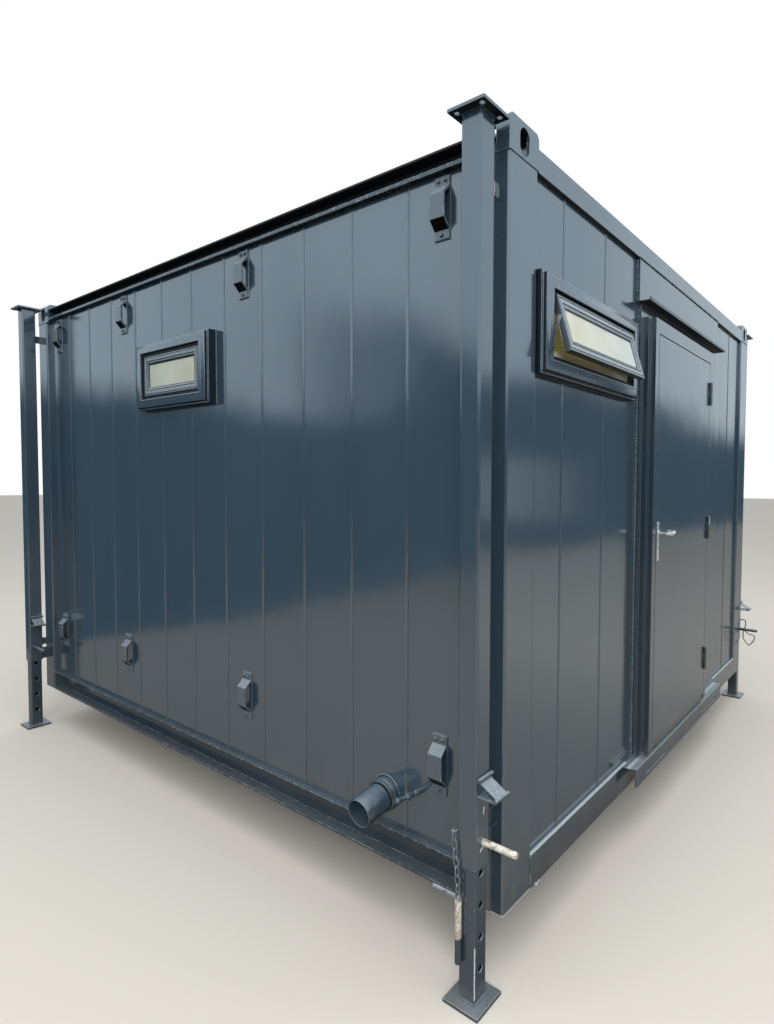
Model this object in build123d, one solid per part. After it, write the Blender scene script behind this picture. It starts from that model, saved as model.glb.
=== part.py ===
from build123d import *
import math
import os

# The steel box, in millimetres
LENGTH = 3364.0            # along the door wall, X
WIDTH = 3772.0             # along the side wall, Y
GROUND_GAP = 240.0         # underside of the frame above the ground
SIDES = 12                 # sides of the small round forms that repeat
EYE_SIDES = 16

# Corner posts and corner blocks
POST_X = 180.0
POST_Y = 130.0
POST_WALL = 6.0
POST_R = 8.0
BLOCK_X = 184.0            # corner block, a little wider than the post
BLOCK_Y = 162.0
BLOCK_H = 118.0
BLOCK_WALL = 12.0
BLOCK_R = 22.0
EYE_W = 60.0               # oblong lifting eyes
EYE_H = 88.0
EYE_RISE = 56.0            # eye centre above the block's underside

# Rails
BASE_H = 122.0
BASE_D = 60.0
TOP_RAIL_H = 77.0          # over the end walls
TOP_RAIL_D = 60.0
TOP_RAIL_DROP = 44.0       # rail top below the blocks' top
SIDE_RAIL_H = 70.0         # over the side walls
SIDE_RAIL_DROP = 36.0
RAIL_T = 8.0
LIP_H = 14.0               # turned lip under the side top rails

# Walls
WALL_T = 52.0
FRONT_RECESS = 17.0        # sheets behind the face of the posts, end walls
SIDE_RECESS = 25.0         # the same on the side walls
SIDE_SEAM = 448.0          # first sheet seam from the front end
SIDE_PITCH = 290.0
FRONT_PITCH = 374.0
SEAM_W = 8.0
SEAM_D = 4.0
SEAM_EDGE = 90.0           # narrowest strip of sheet left beside a seam
LINING_T = 8.0

# Floor and roof
DECK_T = 22.0
JOIST_W = 45.0
JOIST_COUNT = 8
ROOF_T = 3.0
RIB_PITCH = 250.0
RIB_W = 60.0
RIB_H = 18.0
CEILING_T = 9.0
CEILING_DROP = 70.0

# Doorway and door
ZONE_X0 = 1157.0           # flush steel round the doorway, from the left end of the wall
ZONE_X1 = 2516.0
LEAF_X0 = 1275.0           # lock edge of the leaf
LEAF_W = 895.0
LEAF_H = 1988.0
LEAF_T = 42.0
LEAF_BOTTOM = 150.0        # above the underside of the frame
LEAF_GAP = 5.0
LOCK_GAP = 7.0             # the lock edge swings past the jamb
PROUD = 50.0               # door frame and leaf in front of the posts' face
JAMB_W = 46.0
JAMB_STEP = 34.0           # outer rebate of the jamb
STEP_PROUD = 26.0
STOP_W = 8.0               # stop behind the leaf, on the hinge jamb and the head
HEAD_H = 67.0
LINTEL_H = 260.0           # flush steel over the door frame
LINTEL_LAP = 24.0

# Door furniture
HINGE_LOW = 222.0          # lowest hinge centre above the leaf's bottom
HINGE_HIGH = 175.0         # highest hinge centre below the leaf's top
HINGE_H = 130.0
HINGE_R = 8.0
HINGE_PIN_R = 5.0
HINGE_CLEAR = 0.05         # round the hinge pin
HINGE_FLAP = 26.0
HINGE_FLAP_T = 3.0
KNUCKLE_GAP = 0.5
LEVER_RISE = 1037.0        # spindle above the leaf's bottom
LEVER_BACKSET = 18.0       # spindle from the lock edge of the leaf
PLATE_W = 30.0
PLATE_H = 190.0
PLATE_T = 4.0
PLATE_OVER = 55.0          # plate above the spindle
SPINDLE_CLEAR = 0.05
LEVER_R = 9.0
LEVER_OUT = 52.5           # grip's centre line in front of the leaf
LEVER_LEN = 112.0

# Canopy over the door
CANOPY_RISE = 60.0         # above the door frame
CANOPY_OUT = 50.0
CANOPY_T = 4.0
CANOPY_LIP = 16.0

# Step under the door
STEP_X0 = 1067.0
STEP_X1 = 2600.0
STEP_TOP = 98.0
STEP_H = 85.0
STEP_OUT = 50.0
STEP_T = 6.0
SLOT_START = 133.0         # drain slots from the ends of the step
SLOT_L = 280.0
SLOT_H = 9.0
SLOT_RISE = 21.0

# Windows
WIN_H = 330.0              # surrounds level with the top of the doorway
FRONT_WIN_X = 195.0        # from the left end of the door wall
FRONT_WIN_W = 850.0
SIDE_WIN_Y = 1685.0        # from the front end of the side wall
SIDE_WIN_W = 665.0
BORDER_X = 67.0
BORDER_Z = 58.0
WIN_STEP = 16.0            # each of the two steps of the surround
WIN_STEP_IN = 10.0
FRAME_W = 24.0             # window frame behind the sash
FRAME_DEEP = 60.0
SASH_BAR = 42.0
SASH_T = 24.0
SASH_GAP = 3.0
SASH_OPEN = 16.0           # degrees, the top-hung sash stands open
SASH_SET = 8.0             # closed sash behind the face of its surround
GLASS_T = 6.0
STAY_W = 14.0
STAY_LOW = 150.0           # stay pivot on the frame, below the sash's top
STAY_HIGH = 80.0           # stay pivot on the sash, below its top

# Jack legs
HOUSING = 76.0
HOUSING_WALL = 5.0
HOUSING_R = 8.0
INNER_CLEAR = 1.25
INNER_R = 5.0
LEG_GAP = 50.0             # between the housing and the body
LEG_Y = 58.0               # leg centre from the end of the body
HOUSING_BOTTOM = 207.0     # above the underside of the frame
HEAD_DROP = 34.0           # head plate below the blocks' top
PLATE_SIDE = 137.0
HEAD_T = 10.0
FOOT_T = 10.0
BOLT_R = 9.0
BOLT_SPACING = 94.0
INNER_TOP = 900.0          # top of the inner leg above the underside
HOLE_PITCH = 105.0
HOLE_R = 12.0              # to the flats of the hole
HOLE_COUNT = 5             # holes in the inner leg, the highest one pinned
PIN_Z = 292.0              # locking pin above the underside
PIN_R = 11.0
PIN_OUT = 128.0            # pin in front of the housing
PIN_BACK = 14.0
SPARE_L = 206.0            # spare pin that hangs beside the front left leg
SPARE_TOP = 98.0
SPARE_Y = 26.0             # behind the leg's centre
TAB_T = 10.0
TAB_LOW = 207.0            # weld tabs between the housing and the post
TAB_LOW_H = 74.0
TAB_MID = 302.0
TAB_H = 45.0
TAB_TOP_DROP = 251.0       # highest tab below the blocks' top
HOOD_Z = 448.0             # underside of the hood above the underside of the frame
HOOD_OUT = 68.0
HOOD_H = 47.0
HOOD_T = 5.0
HOOD_ROD_R = 7.0
HOOD_OVER = 1.0            # rods beyond the sides of the hood
HOOD_IN = 8.0              # sloping plate in from its sides

# Pipes on the side wall
SOIL_Y = 545.0
SOIL_Z = 243.0             # where the pipe's axis meets the wall
SOIL_R = 55.0
SOIL_WALL = 4.0
SOIL_LEN = 150.0
SOIL_FALL = 9.0            # degrees
SOCKET_R = 62.0
SOCKET_LEN = 34.0
SEAL_R = 58.5
SEAL_W = 6.0
WASTE_Y = 364.0
WASTE_Z = 307.0
WASTE_R = 7.5
WASTE_LEN = 128.0
WASTE_NUT_R = 13.0
WASTE_NUT_W = 20.0
WASTE_SLEEVE_R = 10.5
WASTE_TURN = 9.5          # degrees towards the back of the cabin

# Link brackets on the side wall
BRACKET_FIRST = 284.0      # from the front end
BRACKET_PITCH = 1157.0
BRACKET_LAST = 284.0       # from the back end
BRACKET_LOW = 425.0        # lower row above the underside
BRACKET_HIGH = 224.0       # upper row below the blocks' top
BRACKET_H = 212.0
BRACKET_W = 62.0
BRACKET_T = 7.0
BRACKET_END = 31.0
BRACKET_RISE = 36.0
BRACKET_SLOPE = 32.0

# Heights above the underside of the frame
OPENING_TOP = LEAF_BOTTOM + LEAF_H + LEAF_GAP
FRAME_TOP = OPENING_TOP + HEAD_H
BODY_H = FRAME_TOP + LINTEL_H + TOP_RAIL_H + TOP_RAIL_DROP

# How far things stand out of the steel box
LEG_X = LEG_GAP + HOUSING / 2
INNER = HOUSING - 2 * HOUSING_WALL - 2 * INNER_CLEAR
FALL = math.radians(SOIL_FALL)
LEVER_REACH = PROUD + LEVER_OUT + LEVER_R
PIN_REACH = PIN_OUT + HOUSING / 2 - LEG_Y
SASH_REACH = 2 * WIN_STEP + (WIN_H - 2 * BORDER_Z) * math.sin(math.radians(SASH_OPEN))
FRONT_REACH = max(LEVER_REACH, PIN_REACH, SASH_REACH, STEP_OUT, CANOPY_OUT)
BACK_REACH = max(0.0, PLATE_SIDE / 2 - LEG_Y, HOUSING / 2 + PIN_BACK - LEG_Y)
RIGHT_REACH = LEG_X + PLATE_SIDE / 2
PIPE_REACH = SOIL_LEN * math.cos(FALL) + SOIL_R * math.sin(FALL) - SIDE_RECESS
LEFT_REACH = max(RIGHT_REACH, PIPE_REACH, LEG_X + INNER / 2 + 2 * PIN_R)

# Planes of the box in the part's own frame
X0 = (LEFT_REACH - RIGHT_REACH - LENGTH) / 2
X1 = X0 + LENGTH
Y0 = (FRONT_REACH - BACK_REACH - WIDTH) / 2
Y1 = Y0 + WIDTH
Z0 = GROUND_GAP
Z1 = Z0 + BODY_H
FLOOR_Z = Z0 + BASE_H
RAIL_TOP = Z1 - TOP_RAIL_DROP
RAIL_BOTTOM = RAIL_TOP - TOP_RAIL_H
SIDE_RAIL_TOP = Z1 - SIDE_RAIL_DROP
SIDE_RAIL_BOTTOM = SIDE_RAIL_TOP - SIDE_RAIL_H
BLOCK_Z = Z1 - BLOCK_H
FRONT_IN = Y0 + FRONT_RECESS + WALL_T
BACK_IN = Y1 - FRONT_RECESS - WALL_T
LEFT_IN = X0 + SIDE_RECESS + WALL_T
RIGHT_IN = X1 - SIDE_RECESS - WALL_T
CEILING_Z = RAIL_BOTTOM - CEILING_DROP
LEAF_FACE = Y0 - PROUD
LEAF_LOW = Z0 + LEAF_BOTTOM
DOOR_X0 = X0 + LEAF_X0 - LOCK_GAP
DOOR_X1 = X0 + LEAF_X0 + LEAF_W + LEAF_GAP
DOOR_TOP = Z0 + OPENING_TOP
WIN_LOW = DOOR_TOP - WIN_H
LEVER_X = X0 + LEAF_X0 + LEVER_BACKSET
LEVER_Z = LEAF_LOW + LEVER_RISE

NODES = {}


def keep(name, *solids):
    NODES[name] = Compound(children=list(solids)) if len(solids) > 1 else solids[0]


def keep_in_corners(name, front, back):
    keep(name + "_front_left", front)
    keep(name + "_front_right", other_side(front))
    keep(name + "_back_left", back)
    keep(name + "_back_right", other_side(back))


def block(x_low, x_high, y_low, y_high, z_low, z_high):
    centre = Pos((x_low + x_high) / 2, (y_low + y_high) / 2, (z_low + z_high) / 2)
    return centre * Box(x_high - x_low, y_high - y_low, z_high - z_low)


def prism(points, plane, depth):
    return extrude(plane * make_face(Polyline(*points, close=True)), depth)


def few_sided(radius):
    return Rot(0, 0, 180 / SIDES) * RegularPolygon(radius, SIDES, major_radius=False)


# Outline of a section with rounded corners, each drawn with three short sides
def soft_rectangle(width, depth, radius):
    points = []
    for i in range(16):
        turn = math.radians(90 * (i // 4) + 30 * (i % 4))
        side_x = 1 if i // 4 in (0, 3) else -1
        side_y = 1 if i // 4 in (0, 1) else -1
        x = side_x * (width / 2 - radius) + radius * math.cos(turn)
        points.append((x, side_y * (depth / 2 - radius) + radius * math.sin(turn)))
    return make_face(Polyline(*points, close=True))


def other_side(shape):
    return mirror(shape, Plane.YZ.offset((X0 + X1) / 2))


def other_end(shape):
    return mirror(shape, Plane.XZ.offset(-(Y0 + Y1) / 2))


def clear_of_corners(shape, x_side, y_side, low):
    for x in (X0, X1 - x_side):
        for y in (Y0, Y1 - y_side):
            shape -= block(x, x + x_side, y, y + y_side, low, Z1 + 1)
    return shape


# Corner posts: folded hollow sections, closed by a plate at the foot
def corner_posts():
    outline = soft_rectangle(POST_X, POST_Y, POST_R)
    hollow = Rectangle(POST_X - 2 * POST_WALL, POST_Y - 2 * POST_WALL)
    post = extrude(outline, BLOCK_Z - Z0) - Pos(0, 0, POST_WALL) * extrude(hollow, BLOCK_Z - Z0)
    post = Pos(X0 + POST_X / 2, Y0 + POST_Y / 2, Z0) * post
    keep_in_corners("corner_post", post, other_end(post))


# Corner blocks: cast boxes with an oblong lifting eye in each outer face and in the top
def corner_blocks():
    outline = Rectangle(BLOCK_X, BLOCK_H, align=(Align.MIN, Align.MIN))
    outline = fillet(outline.vertices().group_by(Axis.Y)[-1], BLOCK_R)
    cast = extrude(Plane((X0, Y0, BLOCK_Z), (1, 0, 0), (0, -1, 0)) * outline, -BLOCK_Y)
    cast -= block(X0 + BLOCK_WALL, X0 + BLOCK_X - BLOCK_WALL, Y0 + BLOCK_WALL, Y0 + BLOCK_Y - BLOCK_WALL,
                  BLOCK_Z + BLOCK_WALL, Z1 - BLOCK_WALL)
    x = X0 + BLOCK_X / 2
    y = Y0 + BLOCK_Y / 2
    z = BLOCK_Z + EYE_RISE
    half = BLOCK_WALL / 2
    for plane in (Plane((x, Y0 - half, z), (0, 0, 1), (0, 1, 0)), Plane((X0 - half, y, z), (0, 0, 1), (1, 0, 0)),
                  Plane((x, y, Z1 + half), (1, 0, 0), (0, 0, -1))):
        cast -= extrude(plane * eye(), 2 * BLOCK_WALL)
    back = other_end(cast)
    keep("corner_blocks", cast, other_side(cast), back, other_side(back))


def eye():
    straight = EYE_H - EYE_W
    end = RegularPolygon(EYE_W / 2, EYE_SIDES, major_radius=False, rotation=180 / EYE_SIDES)
    return Pos(-straight / 2, 0) * end + Rectangle(straight, EYE_W) + Pos(straight / 2, 0) * end


# End rails: channels with their web outside
def end_rail(low, high, depth, start):
    profile = [(0, low), (depth, low), (depth, low + RAIL_T), (RAIL_T, low + RAIL_T),
               (RAIL_T, high - RAIL_T), (depth, high - RAIL_T), (depth, high), (0, high)]
    return prism(profile, Plane((X0 + start, Y0, 0), (0, 1, 0), (1, 0, 0)), LENGTH - 2 * start)


# Side rails: channels that open outwards, with a turned lip along the top ones
def side_rail(low, high, depth, start, lip):
    web = depth - RAIL_T
    profile = [(depth, low), (depth, high), (0, high), (0, high - RAIL_T), (web, high - RAIL_T), (web, low + RAIL_T)]
    if lip > 0:
        profile += [(RAIL_T, low + RAIL_T), (RAIL_T, low + lip), (0, low + lip), (0, low)]
    else:
        profile += [(0, low + RAIL_T), (0, low)]
    return prism(profile, Plane((X0, Y0 + start, 0), (1, 0, 0), (0, -1, 0)), -(WIDTH - 2 * start))


def rails():
    base_end = end_rail(Z0, FLOOR_Z, BASE_D, POST_X)
    base_side = side_rail(Z0, FLOOR_Z, BASE_D, POST_Y, 0)
    top_end = end_rail(RAIL_BOTTOM, RAIL_TOP, TOP_RAIL_D, BLOCK_X)
    top_side = side_rail(SIDE_RAIL_BOTTOM, SIDE_RAIL_TOP, TOP_RAIL_D, BLOCK_Y, LIP_H)
    keep("base_rail_front", base_end)
    keep("base_rail_back", other_end(base_end))
    keep("base_rail_left", base_side)
    keep("base_rail_right", other_side(base_side))
    keep("top_rail_front", top_end)
    keep("top_rail_back", other_end(top_end))
    keep("top_rail_left", top_side)
    keep("top_rail_right", other_side(top_side))


# Floor: sheet deck on cross joists between the side rails
def floor():
    deck_low = FLOOR_Z - DECK_T
    deck = block(X0 + BASE_D, X1 - BASE_D, Y0 + BASE_D, Y1 - BASE_D, deck_low, FLOOR_Z)
    keep("floor_deck", clear_of_corners(deck, POST_X, POST_Y, Z0))
    step_y = (WIDTH - 2 * POST_Y - JOIST_W) / (JOIST_COUNT - 1)
    joist = block(X0 + BASE_D, X1 - BASE_D, Y0 + POST_Y, Y0 + POST_Y + JOIST_W, Z0 + RAIL_T, deck_low)
    keep("floor_joists", *[Pos(0, i * step_y, 0) * joist for i in range(JOIST_COUNT)])


# Roof: ribbed steel sheet laid between the top rails
def roof():
    low = RAIL_TOP - RIB_H - ROOF_T
    span = WIDTH - 2 * TOP_RAIL_D
    count = int(span // RIB_PITCH)
    flank = RIB_H / 2
    half = RIB_W / 2
    inner = half - ROOF_T
    upper = [(0, low + ROOF_T)]
    lower = [(0, low)]
    for i in range(count):
        y = (span - (count - 1) * RIB_PITCH) / 2 + i * RIB_PITCH
        upper += [(y - half, low + ROOF_T), (y - half + flank, low + ROOF_T + RIB_H)]
        upper += [(y + half - flank, low + ROOF_T + RIB_H), (y + half, low + ROOF_T)]
        lower += [(y - inner, low), (y - inner + flank, low + RIB_H)]
        lower += [(y + inner - flank, low + RIB_H), (y + inner, low)]
    upper.append((span, low + ROOF_T))
    lower.append((span, low))
    plane = Plane((X0 + TOP_RAIL_D, Y0 + TOP_RAIL_D, 0), (0, 1, 0), (1, 0, 0))
    sheet = prism(upper + lower[::-1], plane, LENGTH - 2 * TOP_RAIL_D)
    keep("roof_sheet", clear_of_corners(sheet, BLOCK_X, BLOCK_Y, Z0))


# Seams that fit on a wall, measured from its start, with no narrow strip at its ends
def seams_on(first, pitch, low, high):
    count = int((high - first) // pitch) + 1
    places = [first + i * pitch for i in range(count)]
    return [place - low for place in places if low + SEAM_EDGE < place < high - SEAM_EDGE]


# Wall slab in plan: sheets outside, with a pressed groove at each seam
def seamed_outline(length, seams):
    points = [(0, 0)]
    for s in seams:
        points += [(s - SEAM_W / 2, 0), (s, SEAM_D), (s + SEAM_W / 2, 0)]
    return points + [(length, 0), (length, WALL_T), (0, WALL_T)]


def end_slab(low, high, first_seam):
    plane = Plane((X0 + low, Y0 + FRONT_RECESS, FLOOR_Z), (1, 0, 0), (0, 0, 1))
    outline = seamed_outline(high - low, seams_on(first_seam, FRONT_PITCH, low, high))
    return prism(outline, plane, RAIL_BOTTOM - FLOOR_Z)


def side_slab():
    low, high = POST_Y, WIDTH - POST_Y
    plane = Plane((X0 + SIDE_RECESS, Y0 + low, FLOOR_Z), (0, 1, 0), (0, 0, -1))
    outline = seamed_outline(high - low, seams_on(SIDE_SEAM, SIDE_PITCH, low, high))
    slab = prism(outline, plane, -(SIDE_RAIL_BOTTOM - FLOOR_Z))
    return clear_of_corners(slab, BLOCK_X, BLOCK_Y, BLOCK_Z)


def window_hole(start, width):
    return start + BORDER_X, start + width - BORDER_X, WIN_LOW + BORDER_Z, WIN_LOW + WIN_H - BORDER_Z


def walls():
    end = LENGTH - POST_X
    left = end_slab(POST_X, ZONE_X0, ZONE_X0 - 2 * FRONT_PITCH)
    x_low, x_high, z_low, z_high = window_hole(X0 + FRONT_WIN_X, FRONT_WIN_W)
    keep("front_wall_left", left - block(x_low, x_high, Y0, FRONT_IN + 1, z_low, z_high))
    keep("front_wall_right", end_slab(ZONE_X1, end, ZONE_X1 + FRONT_PITCH))
    keep("back_wall", other_end(end_slab(POST_X, end, POST_X + FRONT_PITCH)))
    side = side_slab()
    y_low, y_high, z_low, z_high = window_hole(Y0 + SIDE_WIN_Y, SIDE_WIN_W)
    keep("left_wall", side - block(X0, LEFT_IN + 1, y_low, y_high, z_low, z_high))
    keep("right_wall", other_side(side))


# Lining boards between the posts, cut for the doorway and the windows, and the ceiling
def lining():
    low, high = FLOOR_Z, CEILING_Z
    end_low, end_high = X0 + POST_X, X1 - POST_X
    side_low, side_high = Y0 + POST_Y, Y1 - POST_Y
    front = block(end_low, end_high, FRONT_IN, FRONT_IN + LINING_T, low, high)
    x_low, x_high, z_low, z_high = window_hole(X0 + FRONT_WIN_X, FRONT_WIN_W)
    front -= block(x_low, x_high, FRONT_IN - 1, FRONT_IN + LINING_T + 1, z_low, z_high)
    front -= block(DOOR_X0, DOOR_X1, FRONT_IN - 1, FRONT_IN + LINING_T + 1, low - 1, DOOR_TOP)
    back = block(end_low, end_high, BACK_IN - LINING_T, BACK_IN, low, high)
    left = block(LEFT_IN, LEFT_IN + LINING_T, side_low, side_high, low, high)
    y_low, y_high, z_low, z_high = window_hole(Y0 + SIDE_WIN_Y, SIDE_WIN_W)
    left -= block(LEFT_IN - 1, LEFT_IN + LINING_T + 1, y_low, y_high, z_low, z_high)
    right = block(RIGHT_IN - LINING_T, RIGHT_IN, side_low, side_high, low, high)
    keep("inner_lining", front, back, left, right)
    board = block(LEFT_IN, RIGHT_IN, FRONT_IN, BACK_IN, CEILING_Z, CEILING_Z + CEILING_T)
    keep("ceiling", clear_of_corners(board, POST_X, POST_Y, Z0))


# Flush steel beside and over the door frame
def doorway():
    top = Z0 + FRAME_TOP
    low, high = X0 + ZONE_X0, X0 + ZONE_X1
    keep("door_surround_left", block(low, DOOR_X0 - JAMB_W, Y0, FRONT_IN, FLOOR_Z, top))
    keep("door_surround_right", block(DOOR_X1 + JAMB_W, high, Y0, FRONT_IN, FLOOR_Z, top))
    lintel = block(low, high, Y0, FRONT_IN, top, RAIL_BOTTOM)
    lintel += block(low - LINTEL_LAP, low, Y0, Y0 + FRONT_RECESS, top + CANOPY_RISE, RAIL_BOTTOM)
    keep("lintel_panel", lintel)


# Door frame: two jambs with an outer rebate, a head and a sill, with a stop behind the leaf
def door_frame():
    top = Z0 + FRAME_TOP
    stop = LEAF_FACE + LEAF_T + PLATE_T + LEAF_GAP
    rebate = Y0 - STEP_PROUD
    left = block(DOOR_X0 - JAMB_W, DOOR_X0, LEAF_FACE, FRONT_IN, FLOOR_Z, top)
    left += block(DOOR_X0 - JAMB_W - JAMB_STEP, DOOR_X0 - JAMB_W, rebate, Y0, FLOOR_Z, top)
    right = block(DOOR_X1, DOOR_X1 + JAMB_W, LEAF_FACE, FRONT_IN, FLOOR_Z, top)
    right += block(DOOR_X1 + JAMB_W, DOOR_X1 + JAMB_W + JAMB_STEP, rebate, Y0, FLOOR_Z, top)
    right += block(DOOR_X1 - STOP_W, DOOR_X1, stop, FRONT_IN, FLOOR_Z, DOOR_TOP)
    head = block(DOOR_X0, DOOR_X1, LEAF_FACE, FRONT_IN, DOOR_TOP, top)
    head += block(DOOR_X0, DOOR_X1 - STOP_W, stop, FRONT_IN, DOOR_TOP - STOP_W, DOOR_TOP)
    keep("door_jamb_left", left)
    keep("door_jamb_right", right)
    keep("door_head", head)
    sill_high = LEAF_LOW - LEAF_GAP
    keep("door_sill", block(DOOR_X0, DOOR_X1 - STOP_W, LEAF_FACE + LEAF_GAP, FRONT_IN, FLOOR_Z, sill_high))


def spindle_plane(y):
    return Plane((LEVER_X, y, LEVER_Z), (1, 0, 0), (0, 1, 0))


# Door leaf: a flat steel leaf, bored for the lever's spindle
def door_leaf():
    low = X0 + LEAF_X0
    leaf = block(low, low + LEAF_W, LEAF_FACE, LEAF_FACE + LEAF_T, LEAF_LOW, LEAF_LOW + LEAF_H)
    bore = extrude(spindle_plane(LEAF_FACE - 1) * Circle(LEVER_R + SPINDLE_CLEAR), LEAF_T + 2)
    keep("door_leaf", leaf - bore)


# Lever: a round bar that leaves its plate, runs along the leaf and returns to it
def lever_grip(y, side):
    out = y + side * LEVER_OUT
    far = LEVER_X + LEVER_LEN - LEVER_R
    path = Polyline((LEVER_X, y, LEVER_Z), (LEVER_X, out, LEVER_Z), (far, out, LEVER_Z),
                    (far, y + side * (PLATE_T + LEVER_R), LEVER_Z))
    section = Plane((LEVER_X, y, LEVER_Z), (1, 0, 0), (0, side, 0)) * Circle(LEVER_R)
    return sweep(section, path=path, transition=Transition.RIGHT)


def lever_plate(y):
    low = LEVER_Z + PLATE_OVER - PLATE_H
    plate = block(LEVER_X - PLATE_W / 2, LEVER_X + PLATE_W / 2, y, y + PLATE_T, low, low + PLATE_H)
    return plate - extrude(spindle_plane(y - 1) * Circle(LEVER_R + SPINDLE_CLEAR), PLATE_T + 2)


def lever_set():
    back = LEAF_FACE + LEAF_T
    keep("lever_plates", lever_plate(LEAF_FACE - PLATE_T), lever_plate(back))
    spindle = extrude(spindle_plane(LEAF_FACE) * Circle(LEVER_R), LEAF_T)
    keep("lever_handles", lever_grip(LEAF_FACE, -1) + spindle + lever_grip(back, 1))


# Hinges: a frame knuckle above and below with the pin, and a leaf knuckle between them
def hinge(centre):
    x = X0 + LEAF_X0 + LEAF_W + LEAF_GAP / 2
    axis = Pos(x, LEAF_FACE - HINGE_R, centre)
    low, high = centre - HINGE_H / 2, centre + HINGE_H / 2
    third = HINGE_H / 3
    barrel = axis * extrude(few_sided(HINGE_R), HINGE_H / 2, both=True)
    pin = axis * extrude(RegularPolygon(HINGE_PIN_R, SIDES), HINGE_H / 2, both=True)
    bore = axis * extrude(few_sided(HINGE_PIN_R + HINGE_CLEAR), HINGE_H / 2, both=True)
    flap_low = LEAF_FACE - HINGE_FLAP_T
    fixed = barrel + block(x, x + HINGE_FLAP, flap_low, LEAF_FACE, low, high)
    fixed -= block(x - HINGE_FLAP, x + HINGE_FLAP, LEAF_FACE - 2 * HINGE_R, LEAF_FACE, centre - third / 2,
                   centre + third / 2)
    half = third / 2 - KNUCKLE_GAP
    leaf = axis * extrude(few_sided(HINGE_R), half, both=True)
    leaf += block(x - HINGE_FLAP, x, flap_low, LEAF_FACE, centre - half, centre + half)
    return fixed + pin, leaf - bore


def hinges():
    low = LEAF_LOW + HINGE_LOW
    high = LEAF_LOW + LEAF_H - HINGE_HIGH
    pairs = [hinge(centre) for centre in (low, (low + high) / 2, high)]
    keep("hinge_frame_knuckles", *[fixed for fixed, leaf in pairs])
    keep("hinge_leaf_knuckles", *[leaf for fixed, leaf in pairs])


# Canopy: a folded sheet with a raised lip, under the lintel panel
def canopy():
    low = Z0 + FRAME_TOP + CANOPY_RISE
    inner = CANOPY_T - CANOPY_OUT
    profile = [(0, low), (-CANOPY_OUT, low), (-CANOPY_OUT, low + CANOPY_LIP), (inner, low + CANOPY_LIP),
               (inner, low + CANOPY_T), (0, low + CANOPY_T)]
    start = ZONE_X0 - LINTEL_LAP
    keep("canopy", prism(profile, Plane((X0 + start, Y0, 0), (0, 1, 0), (1, 0, 0)), ZONE_X1 - start))


# Step: an angle across the foot of the doorway, slotted near both ends
def step():
    high = Z0 + STEP_TOP
    low = high - STEP_H
    inner = STEP_T - STEP_OUT
    profile = [(0, high), (-STEP_OUT, high), (-STEP_OUT, low), (inner, low), (inner, high - STEP_T), (0, high - STEP_T)]
    body = prism(profile, Plane((X0 + STEP_X0, Y0, 0), (0, 1, 0), (1, 0, 0)), STEP_X1 - STEP_X0)
    for start in (X0 + STEP_X0 + SLOT_START, X0 + STEP_X1 - SLOT_START - SLOT_L):
        body -= block(start, start + SLOT_L, Y0 - STEP_OUT - 1, Y0 + inner + 1, low + SLOT_RISE,
                      low + SLOT_RISE + SLOT_H)
    keep("door_step", body)


# Windows, drawn flat with their outside towards +Z: a two-step surround, a frame and a sash
def window_surround(width, recess):
    outer = Rectangle(width + 2 * WIN_STEP_IN, WIN_H + 2 * WIN_STEP_IN)
    inner = Rectangle(width, WIN_H)
    hole = Rectangle(width - 2 * BORDER_X, WIN_H - 2 * BORDER_Z)
    back = extrude(outer - hole, recess + WIN_STEP)
    return back + Pos(0, 0, recess + WIN_STEP) * extrude(inner - hole, WIN_STEP)


def window_frame(width, face):
    hole = Rectangle(width - 2 * BORDER_X, WIN_H - 2 * BORDER_Z)
    light = Rectangle(width - 2 * BORDER_X - 2 * FRAME_W, WIN_H - 2 * BORDER_Z - 2 * FRAME_W)
    return Pos(0, 0, face - FRAME_DEEP) * extrude(hole - light, FRAME_DEEP)


def sash_and_glass(width):
    w = width - 2 * BORDER_X - 2 * SASH_GAP
    h = WIN_H - 2 * BORDER_Z - 2 * SASH_GAP
    pane = Rectangle(w - 2 * SASH_BAR, h - 2 * SASH_BAR)
    glass = Pos(0, 0, (SASH_T - GLASS_T) / 2) * extrude(pane, GLASS_T)
    return extrude(Rectangle(w, h) - pane, SASH_T), glass


# Stays: flat bars beside the sash, from the side of the hole to the side of the open sash
def stays(top, face):
    swing = math.radians(SASH_OPEN)
    low_y, low_z = top - STAY_LOW, face - STAY_W
    high_y = top - STAY_HIGH * math.cos(swing) - SASH_T / 2 * math.sin(swing)
    high_z = face + STAY_HIGH * math.sin(swing) - SASH_T / 2 * math.cos(swing)
    length = math.hypot(high_y - low_y, high_z - low_z)
    turn = math.degrees(math.atan2(high_z - low_z, high_y - low_y))
    bar = Rot(0, 0, turn) * extrude(Rectangle(length + STAY_W, STAY_W), SASH_GAP)
    edge = FRONT_WIN_W / 2 - BORDER_X
    middle_y, middle_z = (high_y + low_y) / 2, (high_z + low_z) / 2
    return [Plane((x, middle_y, middle_z), (0, 1, 0), (1, 0, 0)) * bar for x in (-edge, edge - SASH_GAP)]


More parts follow.
